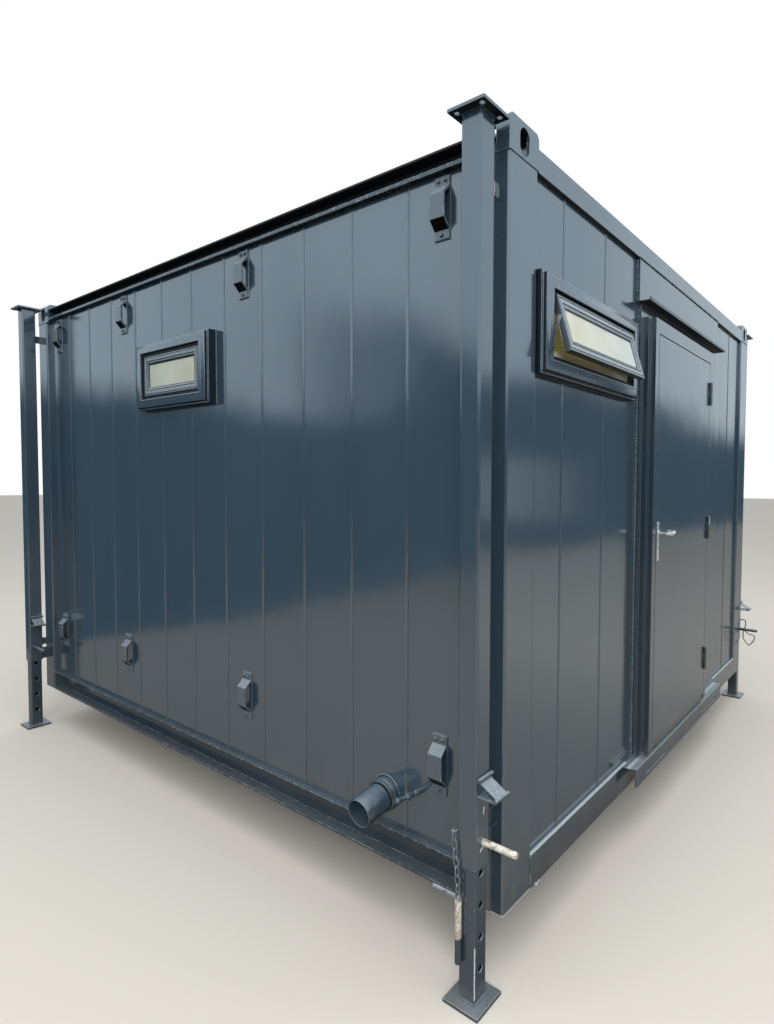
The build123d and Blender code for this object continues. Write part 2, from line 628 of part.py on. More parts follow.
# The front sash hangs from the top of its hole and stands open on its stays, the side sash is shut
def windows():
    front_face = FRONT_RECESS + 2 * WIN_STEP
    front = Plane((X0 + FRONT_WIN_X + FRONT_WIN_W / 2, Y0 + FRONT_RECESS, WIN_LOW + WIN_H / 2), (1, 0, 0), (0, -1, 0))
    keep("front_window_surround", front * window_surround(FRONT_WIN_W, FRONT_RECESS))
    sash, glass = sash_and_glass(FRONT_WIN_W)
    top = WIN_H / 2 - BORDER_Z
    swing = Pos(0, top, front_face) * Rot(-SASH_OPEN, 0, 0) * Pos(0, SASH_GAP - top, -SASH_T)
    keep("front_window_sash", front * swing * sash)
    keep("front_window_glass", front * swing * glass)
    keep("window_stays", *[front * stay for stay in stays(top, front_face)])
    side_face = SIDE_RECESS + 2 * WIN_STEP - SASH_SET
    side = Plane((X0 + SIDE_RECESS, Y0 + SIDE_WIN_Y + SIDE_WIN_W / 2, WIN_LOW + WIN_H / 2), (0, -1, 0), (-1, 0, 0))
    keep("side_window_surround", side * window_surround(SIDE_WIN_W, SIDE_RECESS))
    sash, glass = sash_and_glass(SIDE_WIN_W)
    keep("side_window_sash", side * Pos(0, 0, side_face - SASH_T) * sash)
    keep("side_window_glass", side * Pos(0, 0, side_face - SASH_T) * glass)
    keep("window_frames", front * window_frame(FRONT_WIN_W, front_face - SASH_T),
         side * window_frame(SIDE_WIN_W, side_face - SASH_T))


# Link brackets: hat sections with flat bolted ends, two rows on the left side wall
def hat_bracket(y, z):
    half = BRACKET_H / 2
    foot = half - BRACKET_END
    crown = foot - BRACKET_SLOPE
    t = BRACKET_T
    inner = BRACKET_RISE - t
    outside = [(0, -half), (t, -half), (t, -foot), (BRACKET_RISE, -crown), (BRACKET_RISE, crown), (t, foot), (t, half)]
    inside = [(0, half), (0, foot - t), (inner, crown - t / 2), (inner, t / 2 - crown), (0, t - foot)]
    plane = Plane((X0 + SIDE_RECESS, Y0 + y - BRACKET_W / 2, z), (-1, 0, 0), (0, 1, 0))
    return prism(outside + inside, plane, BRACKET_W)


def brackets():
    places = [BRACKET_FIRST + i * BRACKET_PITCH for i in range(3)] + [WIDTH - BRACKET_LAST]
    keep("link_brackets_lower", *[hat_bracket(y, Z0 + BRACKET_LOW) for y in places])
    keep("link_brackets_upper", *[hat_bracket(y, Z1 - BRACKET_HIGH) for y in places])


# Soil pipe: a plain pipe end in a socket with its seal ring, falling slightly outwards
def soil_pipe():
    wall = X0 + SIDE_RECESS
    axis = Plane((wall, Y0 + SOIL_Y, Z0 + SOIL_Z), (0, 1, 0), (-math.cos(FALL), 0, -math.sin(FALL)))
    back = 2 * SOCKET_R * math.tan(FALL)
    pipe = extrude(axis.offset(-back) * RegularPolygon(SOCKET_R, 2 * SIDES), back + SOCKET_LEN)
    pipe += extrude(axis.offset(SOCKET_LEN) * RegularPolygon(SEAL_R, 2 * SIDES), SEAL_W)
    pipe += extrude(axis * Circle(SOIL_R), SOIL_LEN)
    pipe -= extrude(axis.offset(-2 * back) * Circle(SOIL_R - SOIL_WALL), SOIL_LEN + 4 * back)
    keep("soil_pipe", pipe - Pos(wall + SOCKET_R, Y0 + SOIL_Y, Z0 + SOIL_Z) * Box(2 * SOCKET_R, 4 * SOCKET_R, 4 * SOCKET_R))


# Waste pipe: a thin pipe end with a hexagon nut and a sleeve
def waste_pipe():
    wall = X0 + SIDE_RECESS
    turn = math.radians(WASTE_TURN)
    axis = Plane((wall, Y0 + WASTE_Y, Z0 + WASTE_Z), (0, 0, 1), (-math.cos(turn), math.sin(turn), 0))
    pipe = extrude(axis.offset(-2 * WASTE_R) * few_sided(WASTE_R), WASTE_LEN + 2 * WASTE_R)
    pipe += extrude(axis.offset(WASTE_LEN * 0.45) * RegularPolygon(WASTE_NUT_R, 6), WASTE_NUT_W)
    pipe += extrude(axis.offset(WASTE_LEN * 0.8) * few_sided(WASTE_SLEEVE_R), WASTE_NUT_W)
    keep("waste_pipe", pipe - Pos(wall + SOCKET_R, Y0 + WASTE_Y, Z0 + WASTE_Z) * Box(2 * SOCKET_R, SOCKET_R, SOCKET_R))


# Square steel tube of a jack leg, round-edged outside
def square_tube(side, radius, low, high):
    section = soft_rectangle(side, side, radius) - Rectangle(side - 2 * HOUSING_WALL, side - 2 * HOUSING_WALL)
    return Pos(0, 0, low) * extrude(section, high - low)


def cross_bore(z):
    return extrude(Plane((0, -HOUSING, z), (1, 0, 0), (0, 1, 0)) * few_sided(HOLE_R), 2 * HOUSING)


# Leg housing: fixed tube with a bolted head plate, weld tabs to the post and a small hood
def leg_housing():
    top = Z1 - HEAD_DROP
    body = square_tube(HOUSING, HOUSING_R, Z0 + HOUSING_BOTTOM, top - HEAD_T)
    body -= cross_bore(Z0 + PIN_Z - (HOLE_R - PIN_R))
    plate = Rectangle(PLATE_SIDE, PLATE_SIDE) - GridLocations(BOLT_SPACING, BOLT_SPACING, 2, 2) * Circle(BOLT_R)
    body += Pos(0, 0, top - HEAD_T) * extrude(plate, HEAD_T)
    for low, height in ((Z0 + TAB_LOW, TAB_LOW_H), (Z0 + TAB_MID, TAB_H), (Z1 - TAB_TOP_DROP, TAB_H)):
        body += block(HOUSING / 2, HOUSING / 2 + LEG_GAP, -TAB_T / 2, TAB_T / 2, low, low + height)
    return body + hood()


# Hood: a sloping plate over a shelf, with a round rod along the top and along the shelf's edge
def hood():
    low = Z0 + HOOD_Z
    high = low + HOOD_H
    rod = 2 * HOOD_ROD_R
    side = Plane((-HOUSING / 2, -HOUSING / 2, 0), (0, 1, 0), (1, 0, 0))
    slope = [(0, high), (-HOOD_OUT, low + rod - HOOD_T), (-HOOD_OUT, low + rod), (0, high + HOOD_T)]
    shelf = [(0, low), (-HOOD_OUT, low), (-HOOD_OUT, low + HOOD_T), (0, low + HOOD_T)]
    body = prism(slope, side.offset(HOOD_IN), HOUSING - 2 * HOOD_IN) + prism(shelf, side, HOUSING)
    for y, z in ((-HOOD_ROD_R, high + HOOD_T + HOOD_ROD_R / 2), (-HOOD_OUT, low + HOOD_ROD_R)):
        section = side.offset(-HOOD_OVER) * Pos(y, z) * few_sided(HOOD_ROD_R)
        body += extrude(section, HOUSING + 2 * HOOD_OVER)
    return body


# Inner leg: pinned tube on a square foot plate, with a row of pin holes
def inner_leg():
    body = square_tube(INNER, INNER_R, FOOT_T, Z0 + INNER_TOP)
    for i in range(HOLE_COUNT):
        body -= cross_bore(Z0 + PIN_Z + (HOLE_R - PIN_R) - i * HOLE_PITCH)
    return body + Pos(0, 0, FOOT_T / 2) * Box(PLATE_SIDE, PLATE_SIDE, FOOT_T)


def locking_pin():
    start = Plane((0, -HOUSING / 2 - PIN_OUT, Z0 + PIN_Z), (1, 0, 0), (0, 1, 0))
    return extrude(start * Circle(PIN_R), PIN_OUT + HOUSING + PIN_BACK)


# Jack legs in the four corners, all with their pins towards the front, and a spare pin
def legs():
    front = Pos(X0 - LEG_X, Y0 + LEG_Y, 0)
    back = Pos(X0 - LEG_X, Y1 - LEG_Y, 0)
    keep_in_corners("leg_housing", front * leg_housing(), back * leg_housing())
    keep_in_corners("leg_inner", front * inner_leg(), back * inner_leg())
    pins = [front * locking_pin(), back * locking_pin()]
    keep("leg_pins", *pins, *[other_side(pin) for pin in pins])
    spare = front * Pos(-INNER / 2 - PIN_R, SPARE_Y, Z0 + SPARE_TOP - SPARE_L)
    keep("hanging_pin", spare * extrude(RegularPolygon(PIN_R, 2 * SIDES), SPARE_L))


corner_posts()
corner_blocks()
rails()
floor()
roof()
walls()
lining()
doorway()
door_frame()
door_leaf()
lever_set()
hinges()
canopy()
step()
windows()
brackets()
soil_pipe()
waste_pipe()
legs()

os.makedirs("parts", exist_ok=True)
for node_name, node_shape in NODES.items():
    export_step(node_shape, "parts/" + node_name + ".step")
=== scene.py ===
import math

import bmesh
import bpy
import numpy as np
from mathutils import Matrix, Vector


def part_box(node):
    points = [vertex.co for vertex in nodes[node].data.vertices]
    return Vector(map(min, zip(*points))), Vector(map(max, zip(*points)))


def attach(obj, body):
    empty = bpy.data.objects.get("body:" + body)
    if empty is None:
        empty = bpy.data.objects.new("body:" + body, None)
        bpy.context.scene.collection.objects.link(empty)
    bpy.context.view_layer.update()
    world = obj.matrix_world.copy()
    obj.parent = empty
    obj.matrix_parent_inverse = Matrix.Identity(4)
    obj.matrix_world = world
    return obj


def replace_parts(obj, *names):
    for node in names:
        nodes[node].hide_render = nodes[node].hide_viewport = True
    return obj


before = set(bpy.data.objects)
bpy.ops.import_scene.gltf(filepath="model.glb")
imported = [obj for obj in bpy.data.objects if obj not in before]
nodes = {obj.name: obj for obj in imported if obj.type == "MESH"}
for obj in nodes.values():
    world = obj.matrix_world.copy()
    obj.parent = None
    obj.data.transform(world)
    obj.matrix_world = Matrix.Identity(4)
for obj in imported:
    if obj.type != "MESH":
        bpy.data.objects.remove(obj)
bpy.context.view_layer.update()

# Camera, at eye height off the near left corner, as the photograph was taken, with the lens and the shift that the
# straight edges of the posts, rails and sheet joints give.
FOCAL_PX = 608.19
CENTRE_PX = (462.46, 506.94)
IMAGE_PX = (774, 1024)
camera_data = bpy.data.cameras.new("camera")
camera_data.sensor_fit = "HORIZONTAL"
camera_data.sensor_width = 36.0
camera_data.lens = FOCAL_PX * camera_data.sensor_width / IMAGE_PX[0]
camera_data.shift_x = (IMAGE_PX[0] / 2 - CENTRE_PX[0]) / IMAGE_PX[0]
camera_data.shift_y = (CENTRE_PX[1] - IMAGE_PX[1] / 2) / IMAGE_PX[0]
camera = bpy.data.objects.new("camera", camera_data)
camera.matrix_world = Matrix(((0.595196, 0.029867, -0.803025, -3.3254),
                              (-0.803555, 0.030096, -0.594470, -2.8776),
                              (0.006413, 0.999101, 0.041913, 1.6727),
                              (0.0, 0.0, 0.0, 1.0)))
bpy.context.scene.collection.objects.link(camera)
bpy.context.scene.camera = camera
bpy.context.scene.view_settings.view_transform = "Standard"

# Studio: a white surround, a plain pale floor that the gloss paint sees as sand, darker near the walls as a painted
# shadow of the cabin, two large soft lamps, and cards round the cabin, seen only in its paint as painted reflections:
# dark ones that stand for the containers and trees along a horizon, bright ones for cloud, and a glow low down.
SKY = (0.70, 0.87, 1.0)
DAYLIGHT = (0.93, 0.97, 1.0)
DAYLIGHT_STRENGTH = 0.86
FLOOR_SIDE = 70.0
FLOOR_SEEN = (0.60, 0.565, 0.51)
FLOOR_MIRRORED = (0.235, 0.225, 0.205)
FLOOR_BOUNCED = (0.12, 0.10, 0.075)
CARD_COLOUR = (0.060, 0.105, 0.150)
CLOUD_COLOUR = (0.95, 1.08, 1.18)
GLOW_COLOUR = (0.34, 0.40, 0.44)
EYE_HEIGHT = 1.67
SIDE_EYE = (0.01, -2.88)
DOOR_EYE = (-3.33, -0.76)
# Seen from the camera's mirror image in each wall: bearing, distance, top edge in degrees, cover, glow low down.
SIDE_CARD = [(100, 7.2, 7.2, 1, 0), (118, 7.5, 7.3, 1, 0), (122, 7.7, 7.0, 1, 0), (126, 8.0, 5.6, 1, 0),
             (131, 8.9, 5.2, 1, 0), (136, 9.3, 5.6, 1, 0), (139, 10.0, 8.0, 1, 0), (143, 11.0, 9.0, 1, 0),
             (147, 12.2, 9.5, 1, 0), (160, 15.0, 9.5, 1, 0)]
TALL_CARD = [(128.8, 12.0, 14.5, 0, 0), (130.5, 12.0, 15.0, 0.45, 0), (132.5, 12.0, 15.0, 0.78, 0),
             (134.2, 12.0, 15.0, 0.62, 0), (135.9, 12.0, 15.5, 0.80, 0), (137.3, 12.0, 15.5, 0.66, 0),
             (139.2, 12.0, 15.0, 0.93, 0), (142.0, 12.0, 13.5, 1, 0), (146.0, 12.0, 11.5, 1, 0),
             (160.0, 12.0, 10.0, 1, 0)]
CLOUD_CARD = [(116, 20.0, 16.0, 0, 0), (121, 20.0, 17.0, 0.14, 0), (128, 20.0, 19.0, 0.20, 0),
              (131, 20.0, 19.0, 0.10, 0), (136, 20.0, 19.0, 0, 0)]
DOOR_CARD = [(-60, 14.0, 9.8, 1, 1), (-32, 14.6, 9.8, 1, 1), (-28.5, 15.0, 9.6, 1, 0.6), (-25, 15.9, 9.0, 1, 0.05),
             (-22, 19.0, 8.0, 1, 0), (-18, 22.0, 6.8, 1, 0), (-16, 24.0, 5.2, 1, 0), (-13.5, 27.0, 4.2, 1, 0),
             (-8, 30.0, 3.2, 1, 0)]
BRIGHT_CARD = [(-24, 40.0, 30, 0, 0), (-19, 40.0, 30, 0.8, 0), (-12, 40.0, 30, 1, 0), (-5, 40.0, 30, 1, 0),
               (5, 40.0, 30, 0, 0)]
RING_CARD = [(-180, 28.0, 8.0, 1, 0), (-60, 28.0, 8.0, 1, 0), (-40, 28.0, 5.0, 1, 0), (-15, 28.0, 3.0, 1, 0),
             (10, 28.0, 3.0, 1, 0), (40, 28.0, 8.0, 1, 0), (95, 28.0, 8.0, 1, 0), (105, 28.0, 5.5, 1, 0),
             (150, 28.0, 5.5, 1, 0), (165, 28.0, 8.0, 1, 0), (180, 28.0, 8.0, 1, 0)]
CARD_COLUMNS = 181
CARD_ROWS = 41


def feed(tree, sockets, **inputs):
    """Links or sets input sockets, by name with underscores for spaces, or by number as i0, i1 and so on."""
    for key, value in inputs.items():
        socket = sockets[int(key[1:])] if key[1:].isdigit() else sockets[key.replace("_", " ")]
        if isinstance(value, bpy.types.NodeSocket):
            tree.links.new(value, socket)
        else:
            socket.default_value = value


def put(tree, kind, setup=None, **inputs):
    """Adds a shader node with its settings and its inputs."""
    made = tree.nodes.new("ShaderNode" + kind)
    for key, value in (setup or {}).items():
        setattr(made, key, value)
    feed(tree, made.inputs, **inputs)
    return made


def new_material(name):
    """Material, its node tree, the inputs of its shader, and the place of a surface point on its object."""
    made = bpy.data.materials.new(name)
    made.use_nodes = True
    tree = made.node_tree
    return made, tree, tree.nodes["Principled BSDF"].inputs, put(tree, "TexCoord").outputs["Object"]


def calc(tree, operation, a, b=0.0, clamp=False):
    """One sum of two values."""
    return put(tree, "Math", {"operation": operation, "use_clamp": clamp}, i0=a, i1=b).outputs[0]


def times(tree, a, b, clamp=False):
    return calc(tree, "MULTIPLY", a, b, clamp)


def plus(tree, a, b, clamp=False):
    return calc(tree, "ADD", a, b, clamp)


def vector(tree, operation, a, b=(0.0, 0.0, 0.0), value=False):
    """One sum of two vectors, which gives a vector or a value."""
    return put(tree, "VectorMath", {"operation": operation}, i0=a, i1=b).outputs[1 if value else 0]


def apart(tree, whole):
    """The three numbers of a vector."""
    return put(tree, "SeparateXYZ", Vector=whole).outputs


def ramp(tree, value, low, high, to_low=0.0, to_high=1.0):
    """Smooth step from one value to another."""
    return put(tree, "MapRange", {"interpolation_type": "SMOOTHSTEP"}, Value=value, i1=low, i2=high, i3=to_low,
               i4=to_high).outputs[0]


def blend_colour(tree, share, a, b):
    """Mix of two colours, each a socket or three numbers."""
    a, b = [colour if isinstance(colour, bpy.types.NodeSocket) else (*colour, 1.0) for colour in (a, b)]
    return put(tree, "Mix", {"data_type": "RGBA"}, i0=share, i6=a, i7=b).outputs[2]


def noise(tree, place, scale, detail=2.0, roughness=0.5):
    """Cloud noise from 0 to 1 with its middle near 0.5."""
    return put(tree, "TexNoise", Vector=place, Scale=scale, Detail=detail, Roughness=roughness).outputs[0]


def area_lamp(name, location, target, size, power, colour=(1.0, 1.0, 1.0)):
    data = bpy.data.lights.new(name, "AREA")
    data.shape = "RECTANGLE"
    data.size, data.size_y = size
    data.energy = power
    data.color = colour
    lamp = bpy.data.objects.new(name, data)
    lamp.location = location
    lamp.rotation_euler = (Vector(target) - Vector(location)).to_track_quat("-Z", "Y").to_euler()
    bpy.context.scene.collection.objects.link(lamp)
    return lamp


def reflector(name, eye, table, soft=1.0, colour=CARD_COLOUR):
    """Upright card round an eye point: a grid of bearings by heights. Each point covers the white behind it by the
    table's share, falling off over soft degrees on both sides of the top edge, which wanders by half as much."""
    table = np.asarray(table, float)
    bearing = np.linspace(table[0, 0], table[-1, 0], CARD_COLUMNS)[:, None]
    far, top, share, glow = [np.interp(bearing, table[:, 0], table[:, k]) for k in (1, 2, 3, 4)]
    top = top + soft * 0.3 * (np.sin(bearing * 2.1) + 0.7 * np.sin(bearing * 5.3 + 1.0))
    lowest = -np.degrees(np.arctan(EYE_HEIGHT / far))
    rise = lowest + (top + soft - lowest) * np.linspace(0.0, 1.0, CARD_ROWS)[None, :]
    angle = np.radians(bearing) + 0.0 * rise
    points = np.stack([eye[0] + far * np.cos(angle), eye[1] + far * np.sin(angle),
                       EYE_HEIGHT + far * np.tan(np.radians(rise))], axis=-1)
    cover = share * np.clip((top + soft - rise) / (2.0 * soft), 0.0, 1.0) ** 1.2
    glow = glow * np.clip((2.6 - rise) / 0.8, 0.0, 1.0) * np.clip((rise + 4.0) / 0.8, 0.0, 1.0)
    a, b = np.arange(CARD_COLUMNS - 1)[:, None] * CARD_ROWS, np.arange(CARD_ROWS - 1)[None, :]
    mesh = bpy.data.meshes.new(name)
    quads = np.stack([a + b, a + b + CARD_ROWS, a + b + CARD_ROWS + 1, a + b + 1], axis=-1)
    mesh.from_pydata(points.reshape(-1, 3).tolist(), [], quads.reshape(-1, 4).tolist())
    tint = np.stack([cover, glow, glow, np.ones_like(glow)], axis=-1)
    mesh.color_attributes.new("cover", "FLOAT_COLOR", "POINT").data.foreach_set("color", tint.ravel())
    finish = bpy.data.materials.new(name)
    finish.use_nodes = True
    tree = finish.node_tree
    tree.nodes.clear()
    split = put(tree, "SeparateColor", Color=put(tree, "Attribute", {"attribute_name": "cover"}).outputs["Color"])
    shone = put(tree, "Emission", Color=blend_colour(tree, split.outputs[1], colour, GLOW_COLOUR))
    both = put(tree, "MixShader", i0=split.outputs[0], i1=put(tree, "BsdfTransparent").outputs[0], i2=shone.outputs[0])
    put(tree, "OutputMaterial", Surface=both.outputs[0])
    mesh.materials.append(finish)
    card = bpy.data.objects.new(name, mesh)
    bpy.context.scene.collection.objects.link(card)
    for ray in ("visible_camera", "visible_diffuse", "visible_shadow", "visible_transmission"):
        setattr(card, ray, False)


world = bpy.data.worlds.new("surround")
bpy.context.scene.world = world
world.use_nodes = True
tree = world.node_tree
tree.nodes.clear()
path = put(tree, "LightPath").outputs
background = calc(tree, "MAXIMUM", path["Is Camera Ray"],
                  calc(tree, "MAXIMUM", path["Is Glossy Ray"], path["Is Transmission Ray"]))
tint = blend_colour(tree, path["Is Glossy Ray"], (1.0, 1.0, 1.0), SKY)
shown = put(tree, "Background", Color=tint)
lighting = put(tree, "Background", Color=(*DAYLIGHT, 1.0), Strength=DAYLIGHT_STRENGTH)
both = put(tree, "MixShader", i0=background, i1=lighting.outputs[0], i2=shown.outputs[0])
put(tree, "OutputWorld", Surface=both.outputs[0])
for lamp in (area_lamp("lamp_top", (-2.0, -2.0, 9.0), (0.0, 0.0, 1.0), (9.0, 9.0), 610.0),
             area_lamp("lamp_corner", (-8.0, -7.0, 5.0), (0.0, 0.0, 1.2), (5.0, 4.0), 445.0)):
    lamp.visible_glossy = False

floor_finish, tree, shader, place = new_material("pale_floor")
path = put(tree, "LightPath").outputs
# The sand that the paint sees is darkened up to about 0.4 m past the walls, a painted shadow of the cabin, and grows
# brighter towards +x.
past_walls = vector(tree, "SUBTRACT", vector(tree, "ABSOLUTE", place), (1.7, 1.9, 0.0))
away = vector(tree, "LENGTH", vector(tree, "MAXIMUM", past_walls), value=True)
shaded = times(tree, ramp(tree, away, -0.3, 0.4, 0.2, 1.0), ramp(tree, apart(tree, place)[0], -0.8, 2.5, 1.0, 1.75))
sand_and_painted_shadow = put(tree, "VectorMath", {"operation": "SCALE"}, i0=FLOOR_MIRRORED, Scale=shaded).outputs[0]
mirrored = blend_colour(tree, path["Is Glossy Ray"], FLOOR_BOUNCED, sand_and_painted_shadow)
feed(tree, shader, Base_Color=blend_colour(tree, path["Is Camera Ray"], mirrored, FLOOR_SEEN), Roughness=0.95,
     Specular_IOR_Level=0.0)
floor_mesh = bpy.data.meshes.new("floor")
corners = [(-1, -1), (1, -1), (1, 1), (-1, 1)]
floor_mesh.from_pydata([(x * FLOOR_SIDE, y * FLOOR_SIDE, -0.001) for x, y in corners], [], [(0, 1, 2, 3)])
floor_mesh.materials.append(floor_finish)
floor_object = bpy.data.objects.new("floor", floor_mesh)
bpy.context.scene.collection.objects.link(floor_object)

reflector("card_side", SIDE_EYE, SIDE_CARD, 1.2)
reflector("card_tall", SIDE_EYE, TALL_CARD, 2.0)
reflector("card_cloud", SIDE_EYE, CLOUD_CARD, 5.0)
reflector("card_door", DOOR_EYE, DOOR_CARD, 0.9)
reflector("card_bright", DOOR_EYE, BRIGHT_CARD, 4.0, CLOUD_COLOUR)
reflector("card_ring", (0.0, 0.0), RING_CARD, 0.8)

# Base frame: folded steel channels welded into a ring with joists and a boarded deck, all under gloss enamel, which
# is rolled on over the steel, so it has a fine stipple, softened edges and road dust low down.
PAINT = (0.030, 0.052, 0.074)
PAINT_IOR = 2.7
DUST = (0.30, 0.25, 0.19)
DUST_AND_HIGHLIGHT_TONE = (0.30, 0.35, 0.38)
UNDERSIDE_SHADE = (0.002, 0.003, 0.004)
EDGE_WEAR_AND_HIGHLIGHT = (0.40, 0.45, 0.47)
RUBBED_AND_HIGHLIT = (0.42, 0.48, 0.51)
CORNER = np.array(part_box("corner_post_front_left")[0])


def effect(name, inputs, outputs):
    """Empty node group with named sockets; returns the group, its input sockets and a function that sets an output."""
    group = bpy.data.node_groups.new(name, "ShaderNodeTree")
    for side, sockets in (("INPUT", inputs), ("OUTPUT", outputs)):
        for label, kind in sockets:
            group.interface.new_socket(name=label, in_out=side, socket_type="NodeSocket" + kind)
    entry = group.nodes.new("NodeGroupInput")
    leave = group.nodes.new("NodeGroupOutput")
    return group, entry.outputs, lambda label, socket: group.links.new(socket, leave.inputs[label])


def use(tree, group, **inputs):
    """Places a node group in a material and gives its outputs."""
    made = tree.nodes.new("ShaderNodeGroup")
    made.node_tree = group
    feed(tree, made.inputs, **inputs)
    return made.outputs


rolled_paint, given, give = effect("rolled_paint", [("Vector", "Vector"), ("Stipple", "Float"), ("Sag", "Float")],
                                   [("Height", "Float"), ("Shade", "Float")])
drawn = vector(rolled_paint, "MULTIPLY", given["Vector"], (1.0, 1.0, 0.12))
fine = times(rolled_paint, noise(rolled_paint, given["Vector"], 95.0, 2.0), given["Stipple"])
strokes = times(rolled_paint, noise(rolled_paint, drawn, 45.0, 2.0), given["Stipple"])
sags = times(rolled_paint, noise(rolled_paint, given["Vector"], 2.6, 2.0), given["Sag"])
give("Height", plus(rolled_paint, plus(rolled_paint, fine, strokes), sags))
give("Shade", noise(rolled_paint, drawn, 3.0, 6.0, 0.6))

road_dust, given, give = effect("road_dust", [("Vector", "Vector"), ("Reach", "Float"), ("Amount", "Float")],
                                [("Mask", "Float")])
low_down = ramp(road_dust, calc(road_dust, "DIVIDE", apart(road_dust, given["Vector"])[2], given["Reach"]), 0.1, 1.0,
                1.0, 0.0)
clouds = ramp(road_dust, noise(road_dust, given["Vector"], 7.0, 8.0, 0.62), 0.35, 0.72)
spots = ramp(road_dust, noise(road_dust, given["Vector"], 75.0, 2.0), 0.62, 0.74)
both = plus(road_dust, times(road_dust, clouds, 0.8), times(road_dust, spots, 0.5))
give("Mask", times(road_dust, times(road_dust, both, low_down), given["Amount"], True))

# Pale edges: where the bevel's rounded normal turns away from the face, broken up by noise; they are painted pale
# partly as wear and partly as painted highlight.
worn_and_highlit_edge, given, give = effect("worn_and_highlit_edge", [("Vector", "Vector"), ("Radius", "Float"), ("Amount", "Float")],
                                [("Normal", "Vector"), ("Mask", "Float")])
soft_normal = put(worn_and_highlit_edge, "Bevel", {"samples": 6}, Radius=given["Radius"]).outputs[0]
flat_normal = put(worn_and_highlit_edge, "NewGeometry").outputs["True Normal"]
facing = vector(worn_and_highlit_edge, "DOT_PRODUCT", soft_normal, flat_normal, value=True)
turned_away = ramp(worn_and_highlit_edge, facing, 0.985, 0.80, 0.0, 1.0)
broken = ramp(worn_and_highlit_edge, noise(worn_and_highlit_edge, given["Vector"], 34.0, 6.0, 0.7), 0.42, 0.62)
give("Normal", soft_normal)
give("Mask", times(worn_and_highlit_edge, times(worn_and_highlit_edge, turned_away, broken), given["Amount"], True))

# Faces that look up, in patches: made pale partly as settled dust and partly as painted highlight.
upward_dust_and_highlight, given, give = effect("upward_dust_and_highlight", [("Vector", "Vector"), ("Amount", "Float")], [("Mask", "Float")])
facing = apart(upward_dust_and_highlight, put(upward_dust_and_highlight, "NewGeometry").outputs["True Normal"])[2]
upward = ramp(upward_dust_and_highlight, facing, 0.25, 0.85)
patchy = ramp(upward_dust_and_highlight, noise(upward_dust_and_highlight, given["Vector"], 110.0, 6.0, 0.75), 0.35, 0.68, 0.4, 1.0)
give("Mask", times(upward_dust_and_highlight, times(upward_dust_and_highlight, upward, patchy), given["Amount"], True))

# Faces that look down: the mask of painted shade.
faces_down_shade, given, give = effect("faces_down_shade", [("Amount", "Float")], [("Mask", "Float")])
facing = apart(faces_down_shade, put(faces_down_shade, "NewGeometry").outputs["True Normal"])[2]
give("Mask", times(faces_down_shade, ramp(faces_down_shade, facing, -0.25, -0.6), given["Amount"], True))

panel_bow, given, give = effect("panel_bow", [("Vector", "Vector"), ("Across Y", "Float"), ("First", "Float"),
                                              ("Pitch", "Float"), ("Depth", "Float")], [("Height", "Float")])
split = apart(panel_bow, given["Vector"])
along = put(panel_bow, "Mix", {"data_type": "FLOAT"}, i0=given["Across Y"], i2=split[0], i3=split[1]).outputs[0]
count = calc(panel_bow, "DIVIDE", calc(panel_bow, "SUBTRACT", along, given["First"]), given["Pitch"])
number = calc(panel_bow, "FLOOR", count)
across = calc(panel_bow, "SUBTRACT", calc(panel_bow, "FRACT", count), 0.5)
chance = put(panel_bow, "TexWhiteNoise", {"noise_dimensions": "1D"}, W=number).outputs["Value"]
down = put(panel_bow, "CombineXYZ", i0=times(panel_bow, number, 7.31), i1=times(panel_bow, split[2], 0.9), i2=0.0)
drift = calc(panel_bow, "SUBTRACT", noise(panel_bow, down.outputs[0], 1.0, 1.0), 0.5)
bulge = calc(panel_bow, "SUBTRACT", 0.25, times(panel_bow, across, across))
amount = plus(panel_bow, calc(panel_bow, "SUBTRACT", chance, 0.30), times(panel_bow, drift, 2.6))
tilt = times(panel_bow, times(panel_bow, across, drift), 1.2)
shape = plus(panel_bow, times(panel_bow, bulge, times(panel_bow, amount, 4.0)), tilt)
give("Height", times(panel_bow, shape, given["Depth"]))

bare_line, given, give = effect("bare_line", [("Vector", "Vector"), ("From", "Vector"), ("To", "Vector"),
                                              ("Width", "Float")], [("Mask", "Float")])
run = vector(bare_line, "SUBTRACT", given["To"], given["From"])
away = vector(bare_line, "SUBTRACT", given["Vector"], given["From"])
share = calc(bare_line, "DIVIDE", vector(bare_line, "DOT_PRODUCT", away, run, value=True),
             vector(bare_line, "DOT_PRODUCT", run, run, value=True), True)
foot = put(bare_line, "VectorMath", {"operation": "SCALE"}, i0=run, Scale=share).outputs[0]
reach = vector(bare_line, "DISTANCE", away, foot, value=True)
ragged = times(bare_line, given["Width"], times(bare_line, noise(bare_line, given["Vector"], 160.0, 4.0, 0.7), 2.0))
give("Mask", ramp(bare_line, calc(bare_line, "SUBTRACT", reach, ragged), 0.0006, -0.0004))


